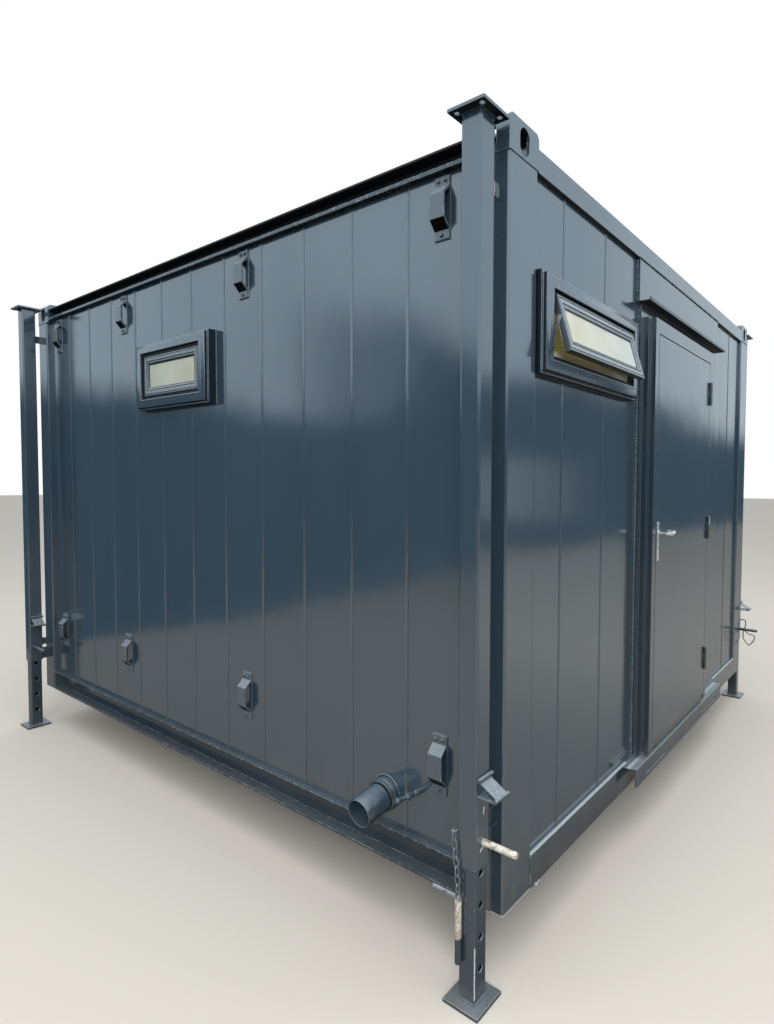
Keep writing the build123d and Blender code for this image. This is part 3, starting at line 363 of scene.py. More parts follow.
def enamel(name, colour=PAINT, rough=0.13, stipple=2.2e-5, sag=0.0008, edge=0.003, pale=0.25, dust=0.0, reach=0.7,
           bow=None, bare=(), metal=(0.55, 0.56, 0.55), upward_pale=0.5, under=0.85, ior=PAINT_IOR, out=None):
    """Gloss enamel on steel. edge and pale are the width and strength of pale edges, partly wear and partly painted
    highlight; dust reaches up to reach metres; the weight for faces that look up makes them pale, partly settled dust
    and partly painted highlight. bow is (across y, first seam, pitch, depth); bare is a list of (from, to, width)
    lines of the metal's colour; under is how far faces that look down are painted near-black, rougher and metallic,
    so that they show neither light nor reflection: painted shade; out is the axis that a moulding faces and how far
    its steps, which look across that axis, are painted dark in the same way as painted shade."""
    material, tree, shader, place = new_material(name)
    coat = use(tree, rolled_paint, Vector=place, Stipple=stipple, Sag=sag)
    rim = use(tree, worn_and_highlit_edge, Vector=place, Radius=edge, Amount=pale)
    dirt = use(tree, road_dust, Vector=place, Reach=reach, Amount=dust)["Mask"]
    dust_and_highlight = use(tree, upward_dust_and_highlight, Vector=place, Amount=upward_pale)["Mask"]
    painted_shade = use(tree, faces_down_shade, Amount=under)["Mask"]
    height = coat["Height"]
    if bow:
        sheet = use(tree, panel_bow, Vector=place, Across_Y=bow[0], First=bow[1], Pitch=bow[2], Depth=bow[3])
        height = plus(tree, height, sheet["Height"])
    # Steps of a moulding, which look across its axis, join the painted shade.
    if out:
        facing = calc(tree, "ABSOLUTE", apart(tree, put(tree, "NewGeometry").outputs["True Normal"])[out[0]])
        painted_shade = calc(tree, "MAXIMUM", painted_shade, ramp(tree, facing, 0.75, 0.45, 0.0, out[1]))
    tone = blend_colour(tree, coat["Shade"], tuple(0.86 * c for c in colour), tuple(1.16 * c for c in colour))
    # Over the tone: pale on faces that look up (dust and painted highlight), near-black painted shade on faces that
    # look down and on moulding steps, pale edges (wear and painted highlight), then road dust. The painted shade also
    # feeds Metallic, so that those faces reflect almost nothing.
    for mask, over in ((dust_and_highlight, DUST_AND_HIGHLIGHT_TONE), (painted_shade, UNDERSIDE_SHADE), (rim["Mask"], EDGE_WEAR_AND_HIGHLIGHT), (dirt, DUST)):
        tone = blend_colour(tree, mask, tone, over)
    gloss = plus(tree, times(tree, coat["Shade"], 0.05), rough - 0.025)
    gloss = plus(tree, gloss, times(tree, plus(tree, dirt, dust_and_highlight), 0.35), True)
    gloss = plus(tree, gloss, times(tree, painted_shade, 0.3), True)
    for start, end, width in bare:
        line = use(tree, bare_line, Vector=place, From=start, To=end, Width=width)["Mask"]
        tone = blend_colour(tree, line, tone, metal)
        gloss = calc(tree, "MAXIMUM", gloss, times(tree, line, 0.45))
    bump = put(tree, "Bump", Height=height, Distance=1.0, Normal=rim["Normal"])
    feed(tree, shader, Base_Color=tone, Roughness=gloss, Metallic=painted_shade, Normal=bump.outputs[0], IOR=ior)
    return material


def dress(material, *names):
    """Gives CAD nodes their finish in place of the one that they came with."""
    for name in names:
        nodes[name].data.materials.clear()
        nodes[name].data.materials.append(material)


def board(name, light, dark, rough, grain):
    """Board with a grain: noise stretched along one direction of the sheet, and pores as a fine bump."""
    material, tree, shader, place = new_material(name)
    streaks = noise(tree, vector(tree, "MULTIPLY", place, grain), 12.0, 6.0, 0.65)
    feed(tree, shader, Base_Color=blend_colour(tree, ramp(tree, streaks, 0.3, 0.7), dark, light),
         Roughness=ramp(tree, streaks, 0.2, 0.8, rough + 0.1, rough - 0.1),
         Normal=put(tree, "Bump", Height=streaks, Distance=0.0008, Strength=0.6).outputs[0])
    return material


RAIL_TOP = 0.122
STEP_SPAN = (1.067, 2.600)
# Pale lines along the front rail's top edge on both sides of the step: partly rubbed steel and partly painted
# highlight.
rubbed_and_highlit_top = [(CORNER + (start, 0.004, RAIL_TOP), CORNER + (end, 0.004, RAIL_TOP), 0.006)
              for start, end in ((0.186, STEP_SPAN[0] - 0.001), (STEP_SPAN[1] + 0.002, 3.180))]
dress(enamel("rail_enamel", colour=(0.024, 0.041, 0.058), dust=0.25, reach=0.55, pale=1.0, edge=0.007, upward_pale=0.22,
             metal=RUBBED_AND_HIGHLIT, bare=rubbed_and_highlit_top), "base_rail_front", "base_rail_back")
# The side base rails take a darker copy of the rail enamel with a weaker reflection: painted shade of their recessed
# webs.
dress(enamel("channel_shaded_enamel", colour=(0.016, 0.028, 0.040), dust=0.12, reach=0.5, pale=1.0, edge=0.005, upward_pale=0.25,
             ior=1.9), "base_rail_left", "base_rail_right")
dress(enamel("joist_enamel", rough=0.35, dust=0.6, reach=0.8), "floor_joists")
dress(board("deck_ply", (0.40, 0.31, 0.20), (0.26, 0.19, 0.12), 0.6, (1.0, 0.06, 1.0)), "floor_deck")

# Corner posts and corner blocks: folded steel posts with cast lifting blocks welded on top, in the same enamel. The
# weld round the foot of each block is a low ripple, and the cast faces are a little rougher than the folded steel.
POST = (180.0, 130.0)
BOX = (3364.0, 3772.0)
BLOCK_FOOT = 2473.0
WELD_SWELL = 8.0


def skin(grid, ring=True, loop=False, ends=True):
    """Faces over a grid of points: rows follow the path and columns go round the section. ring joins the last column
    to the first, loop the last row to the first, and ends closes the two end sections."""
    rows, columns = grid.shape[:2]
    a = np.arange(rows if loop else rows - 1)[:, None]
    b = np.arange(columns if ring else columns - 1)[None, :]
    c, d = (a + 1) % rows, (b + 1) % columns
    quads = np.broadcast_arrays(a * columns + b, a * columns + d, c * columns + d, c * columns + b)
    faces = np.stack(quads, axis=-1).reshape(-1, 4).tolist()
    if ends and not loop:
        faces += [list(range(columns))[::-1], list(range((rows - 1) * columns, rows * columns))]
    return grid.reshape(-1, 3), faces


def piece(name, material, shapes, body="cabin", crease=35.0):
    """One mesh from shapes given in millimetres from the near foot of the steel box, turned outwards and smoothed."""
    start = np.cumsum([0] + [len(points) for points, faces in shapes])
    points = np.concatenate([points for points, faces in shapes]) / 1000.0 + CORNER
    faces = [[i + s for i in face] for s, (_, some) in zip(start, shapes) for face in some]
    mesh = bpy.data.meshes.new(name)
    mesh.from_pydata(points.tolist(), [], faces)
    work = bmesh.new()
    work.from_mesh(mesh)
    bmesh.ops.remove_doubles(work, verts=work.verts, dist=1e-6)
    bmesh.ops.recalc_face_normals(work, faces=work.faces)
    work.to_mesh(mesh)
    work.free()
    mesh.materials.append(material)
    mesh.shade_smooth()
    mesh.set_sharp_from_angle(angle=math.radians(crease))
    made = bpy.data.objects.new(name, mesh)
    bpy.context.scene.collection.objects.link(made)
    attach(made, body)
    return made


def unit(vectors):
    return vectors / np.linalg.norm(vectors, axis=-1, keepdims=True)


def hoop(along, sides, phase=0.0):
    """Unit circles square to each direction, running anticlockwise about it."""
    least = np.eye(3)[np.argmin(np.abs(along).max(axis=0))]
    side = unit(np.cross(along, least))
    other = np.cross(along, side)
    turn = np.linspace(0.0, 2.0 * np.pi, sides, endpoint=False) + phase
    return np.cos(turn)[None, :, None] * side[:, None] + np.sin(turn)[None, :, None] * other[:, None]


def rod(path, radius, sides=12, loop=False):
    """Round bar: a circle of the given radius stands square to the path at each of its points."""
    path = np.asarray(path, float)
    along = np.roll(path, -1, 0) - np.roll(path, 1, 0) if loop else np.gradient(path, axis=0)
    size = np.broadcast_to(radius, len(path))[:, None, None]
    return skin(path[:, None] + size * hoop(unit(along), sides), loop=loop)


def bead(corners, radius, seed=1, step=3.0, sides=6):
    """Weld or mastic bead: a round bar half sunk in the joint, whose radius swells by a fifth with each dab of 8 mm
    and wanders by a seventh."""
    corners = np.asarray(corners, float)
    lengths = np.concatenate([[0.0], np.cumsum(np.linalg.norm(np.diff(corners, axis=0), axis=1))])
    along = np.linspace(0.0, lengths[-1], max(int(lengths[-1] / step), 4))
    path = np.stack([np.interp(along, lengths, corners[:, k]) for k in range(3)], axis=1)
    chance = np.random.default_rng(seed).normal(0.0, 0.14, len(along))
    size = radius * np.clip(1.0 + 0.2 * np.sin(2.0 * np.pi * along / WELD_SWELL) + chance, 0.4, 1.6)
    return rod(path, size, sides)


post_enamel = enamel("post_enamel", dust=0.22, reach=0.9, stipple=2.6e-5,
                     bare=[(CORNER + (0.002, 0.0, 0.001), CORNER + (0.18, 0.0, 0.001), 0.0032),
                           (CORNER + (0.0, 0.002, 0.001), CORNER + (0.0, 0.047, 0.001), 0.0032)])
cast_enamel = enamel("cast_enamel", rough=0.22, stipple=6.0e-5, sag=0.0015, edge=0.005, pale=0.35)
dress(post_enamel, "corner_post_front_left", "corner_post_front_right", "corner_post_back_left",
      "corner_post_back_right")
dress(cast_enamel, "corner_blocks")
welds = []
for k, (x, y) in enumerate([(0, 0), (1, 0), (0, 1), (1, 1)]):
    far_x, far_y = BOX[0] * x, BOX[1] * y
    in_x, in_y = (1 - 2 * x) * POST[0], (1 - 2 * y) * POST[1]
    corners = [(far_x, far_y + in_y), (far_x, far_y), (far_x + in_x, far_y)]
    welds.append(bead([(*corner, BLOCK_FOOT) for corner in corners], 2.6, seed=k))
piece("block_welds", cast_enamel, welds)

# Top rails and roof: channels between the blocks, open outwards over the side walls with a turned lip below, and a
# ribbed steel sheet laid between them; the side rails' insides are painted near-black as painted shade, the side
# rails are flecked pale, and the roof sheet is duller and dusty.
RAIL_FOOT = 2470.0
CHANNEL_FLOOR = (2.742, 2.752)
FLECKS = (0.30, 0.33, 0.34)
SHADED = (0.006, 0.008, 0.010)
dress(enamel("top_rail_enamel", pale=0.5, sag=0.0012), "top_rail_front", "top_rail_back")
side_rail = enamel("side_rail_enamel", rough=0.2, pale=0.8, edge=0.004, stipple=4.0e-5, ior=1.8)
tree = side_rail.node_tree
shader = tree.nodes["Principled BSDF"].inputs
place = put(tree, "TexCoord").outputs["Object"]
# Painted shade: the side rails turn near-black above this height, inside the channel.
inside = ramp(tree, apart(tree, place)[2], *CHANNEL_FLOOR)
flecks = ramp(tree, noise(tree, place, 60.0, 4.0, 0.7), 0.52, 0.66)
painted, polish = [shader[name].links[0].from_socket for name in ("Base Color", "Roughness")]
tone = blend_colour(tree, times(tree, flecks, 0.55), painted, FLECKS)
feed(tree, shader, Base_Color=blend_colour(tree, inside, tone, SHADED),
     Roughness=calc(tree, "MAXIMUM", polish, times(tree, inside, 0.8)))
dress(side_rail, "top_rail_left", "top_rail_right")
dress(enamel("roof_enamel", colour=(0.060, 0.080, 0.095), rough=0.4, dust=0.5, reach=8.0), "roof_sheet")

# Walls: steel sheets set back between posts and rails, joined by pressed seams that are run with a line of mastic
# along the near side and painted over; each sheet is bowed a little differently, which the gloss paint shows.
SIDE_SHEET = 25.0
END_SHEET = 17.0
WALL_FOOT = 122.0
SIDE_TOP = 2485.0
SIDE_SEAMS = 448.0 + 290.0 * np.arange(11)
FRONT_SEAMS = np.array([409.0, 783.0, 2890.0])
BACK_SEAMS = 554.0 + 374.0 * np.arange(7)
SEAM_STEP = 7.0
MASTIC = 2.6
MASTIC_ROW = 20.0
WINDOW_RISE = (1803.0, 2153.0)
SIDE_WINDOW_SPAN = (1675.0, 2360.0)
FRONT_WINDOW_END = 1055.0

for name, across_y, first, pitch, depth, dust, reach, walls in (
        ("left_wall_enamel", 1.0, 0.448, 0.290, 0.0016, 0.16, 0.7, ("left_wall", "right_wall")),
        ("end_wall_enamel", 0.0, 0.409, 0.374, 0.0014, 0.14, 0.7, ("front_wall_left", "front_wall_right")),
        ("back_wall_enamel", 0.0, 0.554, 0.374, 0.0014, 0.2, 0.8, ("back_wall",))):
    bow = (across_y, CORNER[int(across_y)] + first, pitch, depth)
    dress(enamel(name, sag=0.0016, bow=bow, dust=dust, reach=reach), *walls)


def mastic_line(start, out, across, low, high, seed):
    """Half-round line down a seam: nine points of a half circle, and a row each 20 mm, whose height off the sheet
    wanders by a tenth."""
    rise = np.linspace(low, high, int((high - low) / MASTIC_ROW))
    turn = np.linspace(0.0, np.pi, 9)
    swell = MASTIC * (1.0 + 0.1 * np.random.default_rng(seed).normal(0.0, 1.0, len(rise)))[:, None, None]
    section = np.cos(turn)[:, None] * across + np.sin(turn)[:, None] * out
    middle = start + rise[:, None] * np.array([0.0, 0.0, 1.0])
    return skin(middle[:, None] + swell * section[None], ring=True)


left, right = np.array([-1.0, 0.0, 0.0]), np.array([1.0, 0.0, 0.0])
front, back = np.array([0.0, -1.0, 0.0]), np.array([0.0, 1.0, 0.0])
lines = []
for k, y in enumerate(SIDE_SEAMS - SEAM_STEP):
    under_window = SIDE_WINDOW_SPAN[0] < y + SEAM_STEP < SIDE_WINDOW_SPAN[1]
    spans = [(WALL_FOOT, WINDOW_RISE[0]), (WINDOW_RISE[1], SIDE_TOP)] if under_window else [(WALL_FOOT, SIDE_TOP)]
    lines += [mastic_line(np.array([SIDE_SHEET, y, 0.0]), left, back, *span, k) for span in spans]
    lines.append(mastic_line(np.array([BOX[0] - SIDE_SHEET, y, 0.0]), right, back, WALL_FOOT, SIDE_TOP, k))
for k, x in enumerate(FRONT_SEAMS - SEAM_STEP):
    under_window = x + SEAM_STEP <= FRONT_WINDOW_END
    spans = [(WALL_FOOT, WINDOW_RISE[0]), (WINDOW_RISE[1], RAIL_FOOT)] if under_window else [(WALL_FOOT, RAIL_FOOT)]
    lines += [mastic_line(np.array([x, END_SHEET, 0.0]), front, right, *span, k) for span in spans]
for k, x in enumerate(BACK_SEAMS - SEAM_STEP):
    lines.append(mastic_line(np.array([x, BOX[1] - END_SHEET, 0.0]), back, right, WALL_FOOT, RAIL_FOOT, k))
lines.append(mastic_line(np.array([SIDE_SHEET, POST[1] + 1.5, 0.0]), left, back, WALL_FOOT, SIDE_TOP, 40))
lines.append(mastic_line(np.array([POST[0] + 1.5, END_SHEET, 0.0]), front, right, WALL_FOOT, RAIL_FOOT, 41))
piece("seam_mastic", enamel("mastic_enamel", rough=0.2, stipple=4.0e-5, edge=0.001, pale=0.0), lines)

# Room: faced boards on the walls and the ceiling, cream and warm, seen only past the open window.
dress(board("lining_board", (0.62, 0.62, 0.42), (0.50, 0.50, 0.33), 0.5, (1.0, 1.0, 0.1)), "inner_lining", "ceiling")
area_lamp("room_lamp", (-0.3, 0.0, 2.55), (-0.3, 0.0, 0.0), (1.6, 1.6), 30.0, (1.0, 0.97, 0.82))

# Doorway: flush steel round the opening, a deep folded frame that stands proud of the wall, a sill and a stepped
# angle with drain slots, welded and filled along the rail above, with a rough line of filler down its left side.
ZONE = (1157.0, 2516.0)
LINTEL_LEFT = 1133.0
LINTEL_FOOT = 2270.0
JAMB_OUTSIDE = (1188.0, 2255.0)
JAMB_TOP = 2210.0
STEP_TOP = 98.0
PROUD = -0.5
BEHIND = 14.0
# The frame's steps, which look across the wall, are painted dark as painted shade.
dress(enamel("door_frame_enamel", sag=0.0005, dust=0.2, reach=0.6, pale=0.35, out=(1, 0.35)), "door_surround_left",
      "door_surround_right", "lintel_panel", "door_jamb_left", "door_jamb_right", "door_head")
# A pale line along the step's front edge: partly rubbed steel and partly painted highlight.
step_line = [CORNER + (x, -0.008, STEP_TOP / 1000.0) for x in (STEP_SPAN[0] + 0.001, STEP_SPAN[1] - 0.002)]
dress(enamel("step_enamel", rough=0.22, dust=0.3, reach=0.5, pale=1.0, edge=0.006, stipple=4.0e-5, upward_pale=0.95,
             metal=RUBBED_AND_HIGHLIT, bare=[(*step_line, 0.012)]), "door_step")
dress(enamel("sill_enamel", rough=0.3, dust=0.3, reach=0.7, pale=0.9, upward_pale=0.95), "door_sill")
filler = enamel("filler_enamel", rough=0.3, stipple=2.0e-4, sag=0.002, edge=0.001, pale=0.0)
runs = [((LINTEL_LEFT, PROUD, RAIL_FOOT), (ZONE[1], PROUD, RAIL_FOOT), 4.6),
        ((LINTEL_LEFT, BEHIND, LINTEL_FOOT + 4.0), (LINTEL_LEFT, BEHIND, RAIL_FOOT), 5.5),
        ((ZONE[0] - 3.0, BEHIND, WALL_FOOT), (ZONE[0] - 3.0, BEHIND, LINTEL_FOOT), 5.5),
        ((ZONE[1] + 3.0, BEHIND, WALL_FOOT), (ZONE[1] + 3.0, BEHIND, RAIL_FOOT), 4.0),
        ((JAMB_OUTSIDE[0] - 1.0, PROUD, WALL_FOOT), (JAMB_OUTSIDE[0] - 1.0, PROUD, JAMB_TOP), 2.2),
        ((JAMB_OUTSIDE[1] + 1.0, PROUD, WALL_FOOT), (JAMB_OUTSIDE[1] + 1.0, PROUD, JAMB_TOP), 2.2),
        ((STEP_SPAN[0] * 1000.0, PROUD, STEP_TOP), (STEP_SPAN[1] * 1000.0, PROUD, STEP_TOP), 2.4)]
piece("frame_filler", filler, [bead((start, end), size, seed=11 + k) for k, (start, end, size) in enumerate(runs)])

# Canopy: a folded sheet welded to the wall over the door, in an enamel darker, rougher and less reflective than the
# walls as painted shade, with a raised front lip whose edges are pale, partly wear and partly painted highlight, and a
# line of brown mastic where it meets the wall underneath.
canopy_shaded_enamel = enamel("canopy_shaded_enamel", colour=(0.014, 0.020, 0.026), rough=0.24, pale=1.0, edge=0.004, ior=1.5)
dress(canopy_shaded_enamel, "canopy")
mastic, tree, shader, place = new_material("brown_mastic")
cloud = noise(tree, place, 40.0, 4.0)
feed(tree, shader, Base_Color=blend_colour(tree, cloud, (0.14, 0.09, 0.06), (0.30, 0.20, 0.14)), Roughness=0.6,
     Normal=put(tree, "Bump", Height=cloud, Distance=0.001).outputs[0])
piece("canopy_mastic", mastic, [bead([(LINTEL_LEFT + 30.0, -1.5, LINTEL_FOOT - 0.5),
                                      (ZONE[1] - 60.0, -1.5, LINTEL_FOOT - 0.5)], 2.4, seed=21)])

# Door: a flat steel leaf with folded edges on three pinned hinges, a black strip at the back of its gap and a silver
# lever on a narrow plate. The leaf's lower half is a little duller from use.
LEAF = (1275.0, 2170.0, 150.0, 2138.0)
LEAF_FACE = -50.0
LEAF_BACK = -8.0
SEAL_DEPTH = (LEAF_BACK + 3.0, LEAF_BACK + 9.0)
HINGE_LINE = (2172.5, -58.0)
HINGES = (372.0, 1167.5, 1963.0)
HINGE_HALF = 65.0
dress(enamel("leaf_enamel", sag=0.0022, dust=0.25, reach=1.5, pale=0.6, edge=0.003), "door_leaf")
hinge_enamel = enamel("hinge_enamel", colour=(0.016, 0.026, 0.036), rough=0.25, pale=0.6, edge=0.001,
                      bare=[(CORNER + (2.1725, -0.066, 1.185), CORNER + (2.1725, -0.066, 1.240), 0.004)],
                      metal=(0.62, 0.62, 0.58))
dress(hinge_enamel, "hinge_frame_knuckles", "hinge_leaf_knuckles")


def softened(low, high, edge, steps=3):
    """Block with all its edges rounded: a rounded rectangle that draws in along a quarter circle at both ends."""
    low, high = np.asarray(low, float), np.asarray(high, float)
    half = (high - low) / 2.0
    quarter = np.linspace(0.0, np.pi / 2.0, steps + 1)
    turn = (quarter[None] + np.arange(4)[:, None] * np.pi / 2.0).ravel()
    corner = np.repeat([(1, 1), (-1, 1), (-1, -1), (1, -1)], steps + 1, axis=0) * (half[:2] - edge)
    drawn = np.concatenate([edge * np.sin(quarter), edge * np.sin(quarter[::-1])])
    rise = np.concatenate([edge * (1.0 - np.cos(quarter)) - half[2], half[2] - edge * (1.0 - np.cos(quarter[::-1]))])
    plan = corner[None] + drawn[:, None, None] * np.stack([np.cos(turn), np.sin(turn)], axis=1)[None]
    level = np.broadcast_to(rise[:, None, None], plan.shape[:2] + (1,))
    return skin((low + high) / 2.0 + np.concatenate([plan, level], axis=2))


def turned(start, axis, profile, sides=24, phase=0.0):
    """Turned part: a profile of (distance along the axis, radius) swung once round the axis."""
    profile = np.asarray(profile, float)
    axis = unit(np.asarray(axis, float))
    circles = hoop(axis[None], sides, phase)[0]
    return skin(np.asarray(start, float) + profile[:, :1, None] * axis + profile[:, 1:, None] * circles[None])


def eased(corners, radius, steps=6):
    """Path through corners that are each rounded by a parabola that starts and ends the given distance away."""
    corners = np.asarray(corners, float)
    here = corners[1:-1, None]
    start = here + radius * unit(corners[:-2] - corners[1:-1])[:, None]
    end = here + radius * unit(corners[2:] - corners[1:-1])[:, None]
    t = np.linspace(0.0, 1.0, steps)[None, :, None]
    arc = (1 - t) ** 2 * start + 2 * t * (1 - t) * here + t ** 2 * end
    return np.concatenate([corners[:1], arc.reshape(-1, 3), corners[-1:]])


rubber, tree, shader, place = new_material("black_rubber")
cloud = noise(tree, place, 90.0, 4.0)
feed(tree, shader, Base_Color=blend_colour(tree, cloud, (0.004, 0.005, 0.006), (0.014, 0.016, 0.018)),
     Roughness=ramp(tree, cloud, 0.2, 0.8, 0.5, 0.75))
# A black strip at the back of the gap round the leaf.
piece("door_gap_strip", rubber, [
    softened((LEAF[0] - 5.5, SEAL_DEPTH[0], LEAF[2]), (LEAF[0] - 1.5, SEAL_DEPTH[1], LEAF[3]), 1.2, 2),
    softened((LEAF[0], SEAL_DEPTH[0], LEAF[3] + 1.0), (LEAF[1], SEAL_DEPTH[1], LEAF[3] + 4.5), 1.2, 2)])
CAP = [(0, 7.0), (1.5, 7.0), (3.0, 5.5), (3.8, 3.0), (4.0, 0.0)]
piece("hinge_pin_caps", hinge_enamel, [turned((*HINGE_LINE, middle + way * HINGE_HALF), (0, 0, way), CAP, 12)
                                       for middle in HINGES for way in (1.0, -1.0)])

silver, tree, shader, place = new_material("satin_silver")
brushed = noise(tree, vector(tree, "MULTIPLY", place, (0.15, 1.0, 1.0)), 900.0, 2.0)
smears = noise(tree, place, 60.0, 4.0)
feed(tree, shader, Base_Color=blend_colour(tree, smears, (0.80, 0.80, 0.78), (0.93, 0.93, 0.91)),
     Roughness=ramp(tree, smears, 0.3, 0.7, 0.24, 0.36), Metallic=0.9,
     Normal=put(tree, "Bump", Height=brushed, Distance=0.00004).outputs[0])
SPINDLE = (1293.0, 1187.0)
PLATE_DEEP = 4.0
SCREWS = (47.0, -127.0)
KEYHOLE = -72.0
SCREW = [(0, 0), (0, 3.6), (1.2, 3.2), (1.6, 1.5), (1.6, 0)]
ROSE = [(0, 0), (0, 12.5), (5, 12.5), (7, 10.5), (7, 0)]
BARREL = [(0, 0), (0, 9.0), (1.6, 9.0), (2.2, 8.0), (2.2, 0)]
x, z = SPINDLE
handles, plates, keyhole_shades = [], [], []
for face, way in ((LEAF_FACE, -1.0), (LEAF_BACK, 1.0)):
    bar = eased([(x, face + way * 1.0, z), (x, face + way * 52.0, z - 1.0), (x + 60.0, face + way * 53.0, z - 4.0),
                 (x + 103.0, face + way * 50.0, z + 2.0), (x + 103.0, face + way * 16.0, z + 4.0)], 11.0, 7)
    thick = np.interp(np.linspace(0.0, 1.0, len(bar)), [0.0, 0.25, 0.6, 1.0], [7.5, 8.8, 8.8, 7.6])
    handles += [rod(bar, thick, 16), turned((x, face + way * 1.5, z), (0, way, 0), ROSE, 24)]
    near, far = sorted((face, face + way * PLATE_DEEP))
    plates.append(softened((x - 15.0, near, z - 135.0), (x + 15.0, far, z + 55.0), 1.8))
    plates += [turned((x, face + way * 3.5, z + rise), (0, way, 0), SCREW, 12) for rise in SCREWS]
    plates.append(turned((x, face + way * 3.5, z + KEYHOLE), (0, way, 0), BARREL))
    # Keyholes: thin black blocks on the plates, painted shade standing for the shadowed slots.
    near, far = sorted((face + way * PLATE_DEEP, face + way * 6.2))
    keyhole_shades.append(softened((x - 1.6, near, z - 78.0), (x + 1.6, far, z - 66.0), 0.8, 2))
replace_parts(piece("lever_bars", silver, handles, "lever"), "lever_handles")
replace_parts(piece("lever_plate_set", silver, plates, "door"), "lever_plates")
piece("keyhole_shade", rubber, keyhole_shades, "door")

# Windows: mitred two-step steel surrounds run with mastic, a slim metal sash in the same enamel with a bead round the
# pane, and frosted glass in a black gasket; a black strip in the gap between surround and sash is painted shade. The
# door-side sash hangs open from its head on two stays.
UP = np.array([0.0, 0.0, 1.0])
SIDE_STAND = 25.0
FRONT_WINDOW = (np.array([620.0, 17.0, 1978.0]), right, front, (425.0, 165.0), 17.0)
SIDE_WINDOW = (np.array([25.0, 2017.5, 1978.0]), front, left, (332.5, 165.0), SIDE_STAND)
BORDER = (67.0, 58.0)
MASTIC_OUT = 11.5
ROUND = np.array([(-1, -1), (1, -1), (1, 1), (-1, 1), (-1, -1)], float)
OPEN = math.radians(16.0)
HEAD_RISE = 107.0
HEAD_STAND = 49.0
SASH_DEEP = 24.0
SASH_PLAY = 3.0


def mitred(centre, across, up, out, half, profile):
    """Frame with mitred corners: a closed section of (in from the side, in from the top, outwards) carried round a
    rectangle through its four corners."""
    profile = np.asarray(profile, float)
    side = ROUND[:4, None, 0, None] * (half[0] - profile[None, :, 0, None])
    rise = ROUND[:4, None, 1, None] * (half[1] - profile[None, :, 1, None])
    return skin(centre + side * across + rise * up + profile[None, :, 2, None] * out, loop=True)


def surround(centre, across, out, half, stand):
    """Two-step surround: an outer step, a face with a round bead, a ledge round the sash, and the reveal. stand is how
    far the whole moulding is held off the sheet."""
    inset = np.array([-10, -10, -8.5, -1.5, 0, 0, 3, 33, 35, 37.5, 41, 44, 46, 46, 57, 58, 58.0])
    rise = np.array([-2, 14.5, 16, 16, 17.5, 29.5, 31.5, 31.5, 32.6, 33.5, 33.5, 32, 28, 20, 20, 18, -2.0])
    rise = np.where(rise > 0, rise + stand, rise)
    wide = np.where(inset > 0, inset * BORDER[0] / BORDER[1], inset)
    return mitred(centre, across, UP, out, half, np.stack([wide, inset, rise], axis=1))


def mastic_frame(centre, across, out, half):
    """Line of mastic on the sheet round a surround: a bead through its four corners and back."""
    corners = ROUND * (np.array(half) + MASTIC_OUT)
    return bead([centre + a * across + b * UP + 0.5 * out for a, b in corners], 3.2, seed=31)


# The surrounds' faces that look down, and their steps that look across the wall, are painted dark as painted shade.
moulding = dict(rough=0.2, stipple=3.0e-5, sag=0.0006, pale=1.0, edge=0.0035, under=0.97)
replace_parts(piece("front_surround_mitred", enamel("moulding_enamel_front", out=(1, 0.72), **moulding),
                  [surround(*FRONT_WINDOW)]), "front_window_surround")
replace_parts(piece("side_surround_mitred", enamel("moulding_enamel_side", out=(0, 0.72), **moulding),
                  [surround(*SIDE_WINDOW)]), "side_window_surround")
piece("window_mastic", filler, [mastic_frame(*window[:4]) for window in (FRONT_WINDOW, SIDE_WINDOW)])

PROFILE = [(0, 0, 1.5), (0, 0, 21), (1.5, 1.5, 23.4), (4, 4, 24), (7, 7, 24), (7.5, 7.5, 21), (10.5, 10.5, 21),
           (11, 11, 24), (25, 25, 24), (26.5, 26.5, 23), (27, 27, 19.5), (31, 31, 19.5), (31.5, 31.5, 22.5),
           (35, 35, 22), (42, 42, 16.5), (42, 42, 6), (36, 36, 2), (30, 30, 0), (2, 2, 0)]
GASKET = [(39, 39, 14), (39, 39, 16.6), (42.5, 42.5, 17.6), (44.5, 44.5, 16.8), (44.5, 44.5, 15.0)]


def hung(shape):
    """Carries a sash from where it is drawn, flat and shut, to its place: turned about its head by the open angle."""
    points, faces = shape
    rise, out = points[:, 2] + SASH_PLAY - HEAD_RISE, points[:, 1] - SASH_DEEP
    cos, sin = math.cos(OPEN), math.sin(OPEN)
    moved = [points[:, 0], -(out * cos - rise * sin) - HEAD_STAND, rise * cos + out * sin + HEAD_RISE]
    return np.stack(moved, axis=1) + FRONT_WINDOW[0], faces


flat_sash = dict(centre=np.zeros(3), across=right, up=UP, out=back, half=(355.0, 104.0))
shut_sash = dict(centre=SIDE_WINDOW[0] + SIDE_STAND * left, across=front, up=UP, out=left, half=(262.5, 104.0))
sash = dict(rough=0.24, stipple=5.0e-5, edge=0.003)
# The side sash takes a darker copy of the front sash's enamel, painted shade; on both, the steps that look across the
# wall are painted dark as painted shade.
sash_enamel = enamel("sash_enamel", colour=(0.13, 0.155, 0.175), pale=1.0, out=(1, 0.6), **sash)
side_sash_shaded_enamel = enamel("side_sash_shaded_enamel", colour=(0.085, 0.108, 0.125), pale=0.8, out=(0, 0.6), **sash)
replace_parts(piece("front_sash_bar", sash_enamel, [hung(mitred(profile=PROFILE, **flat_sash))]), "front_window_sash")
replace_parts(piece("side_sash_bar", side_sash_shaded_enamel, [mitred(profile=PROFILE, **shut_sash)]), "side_window_sash")
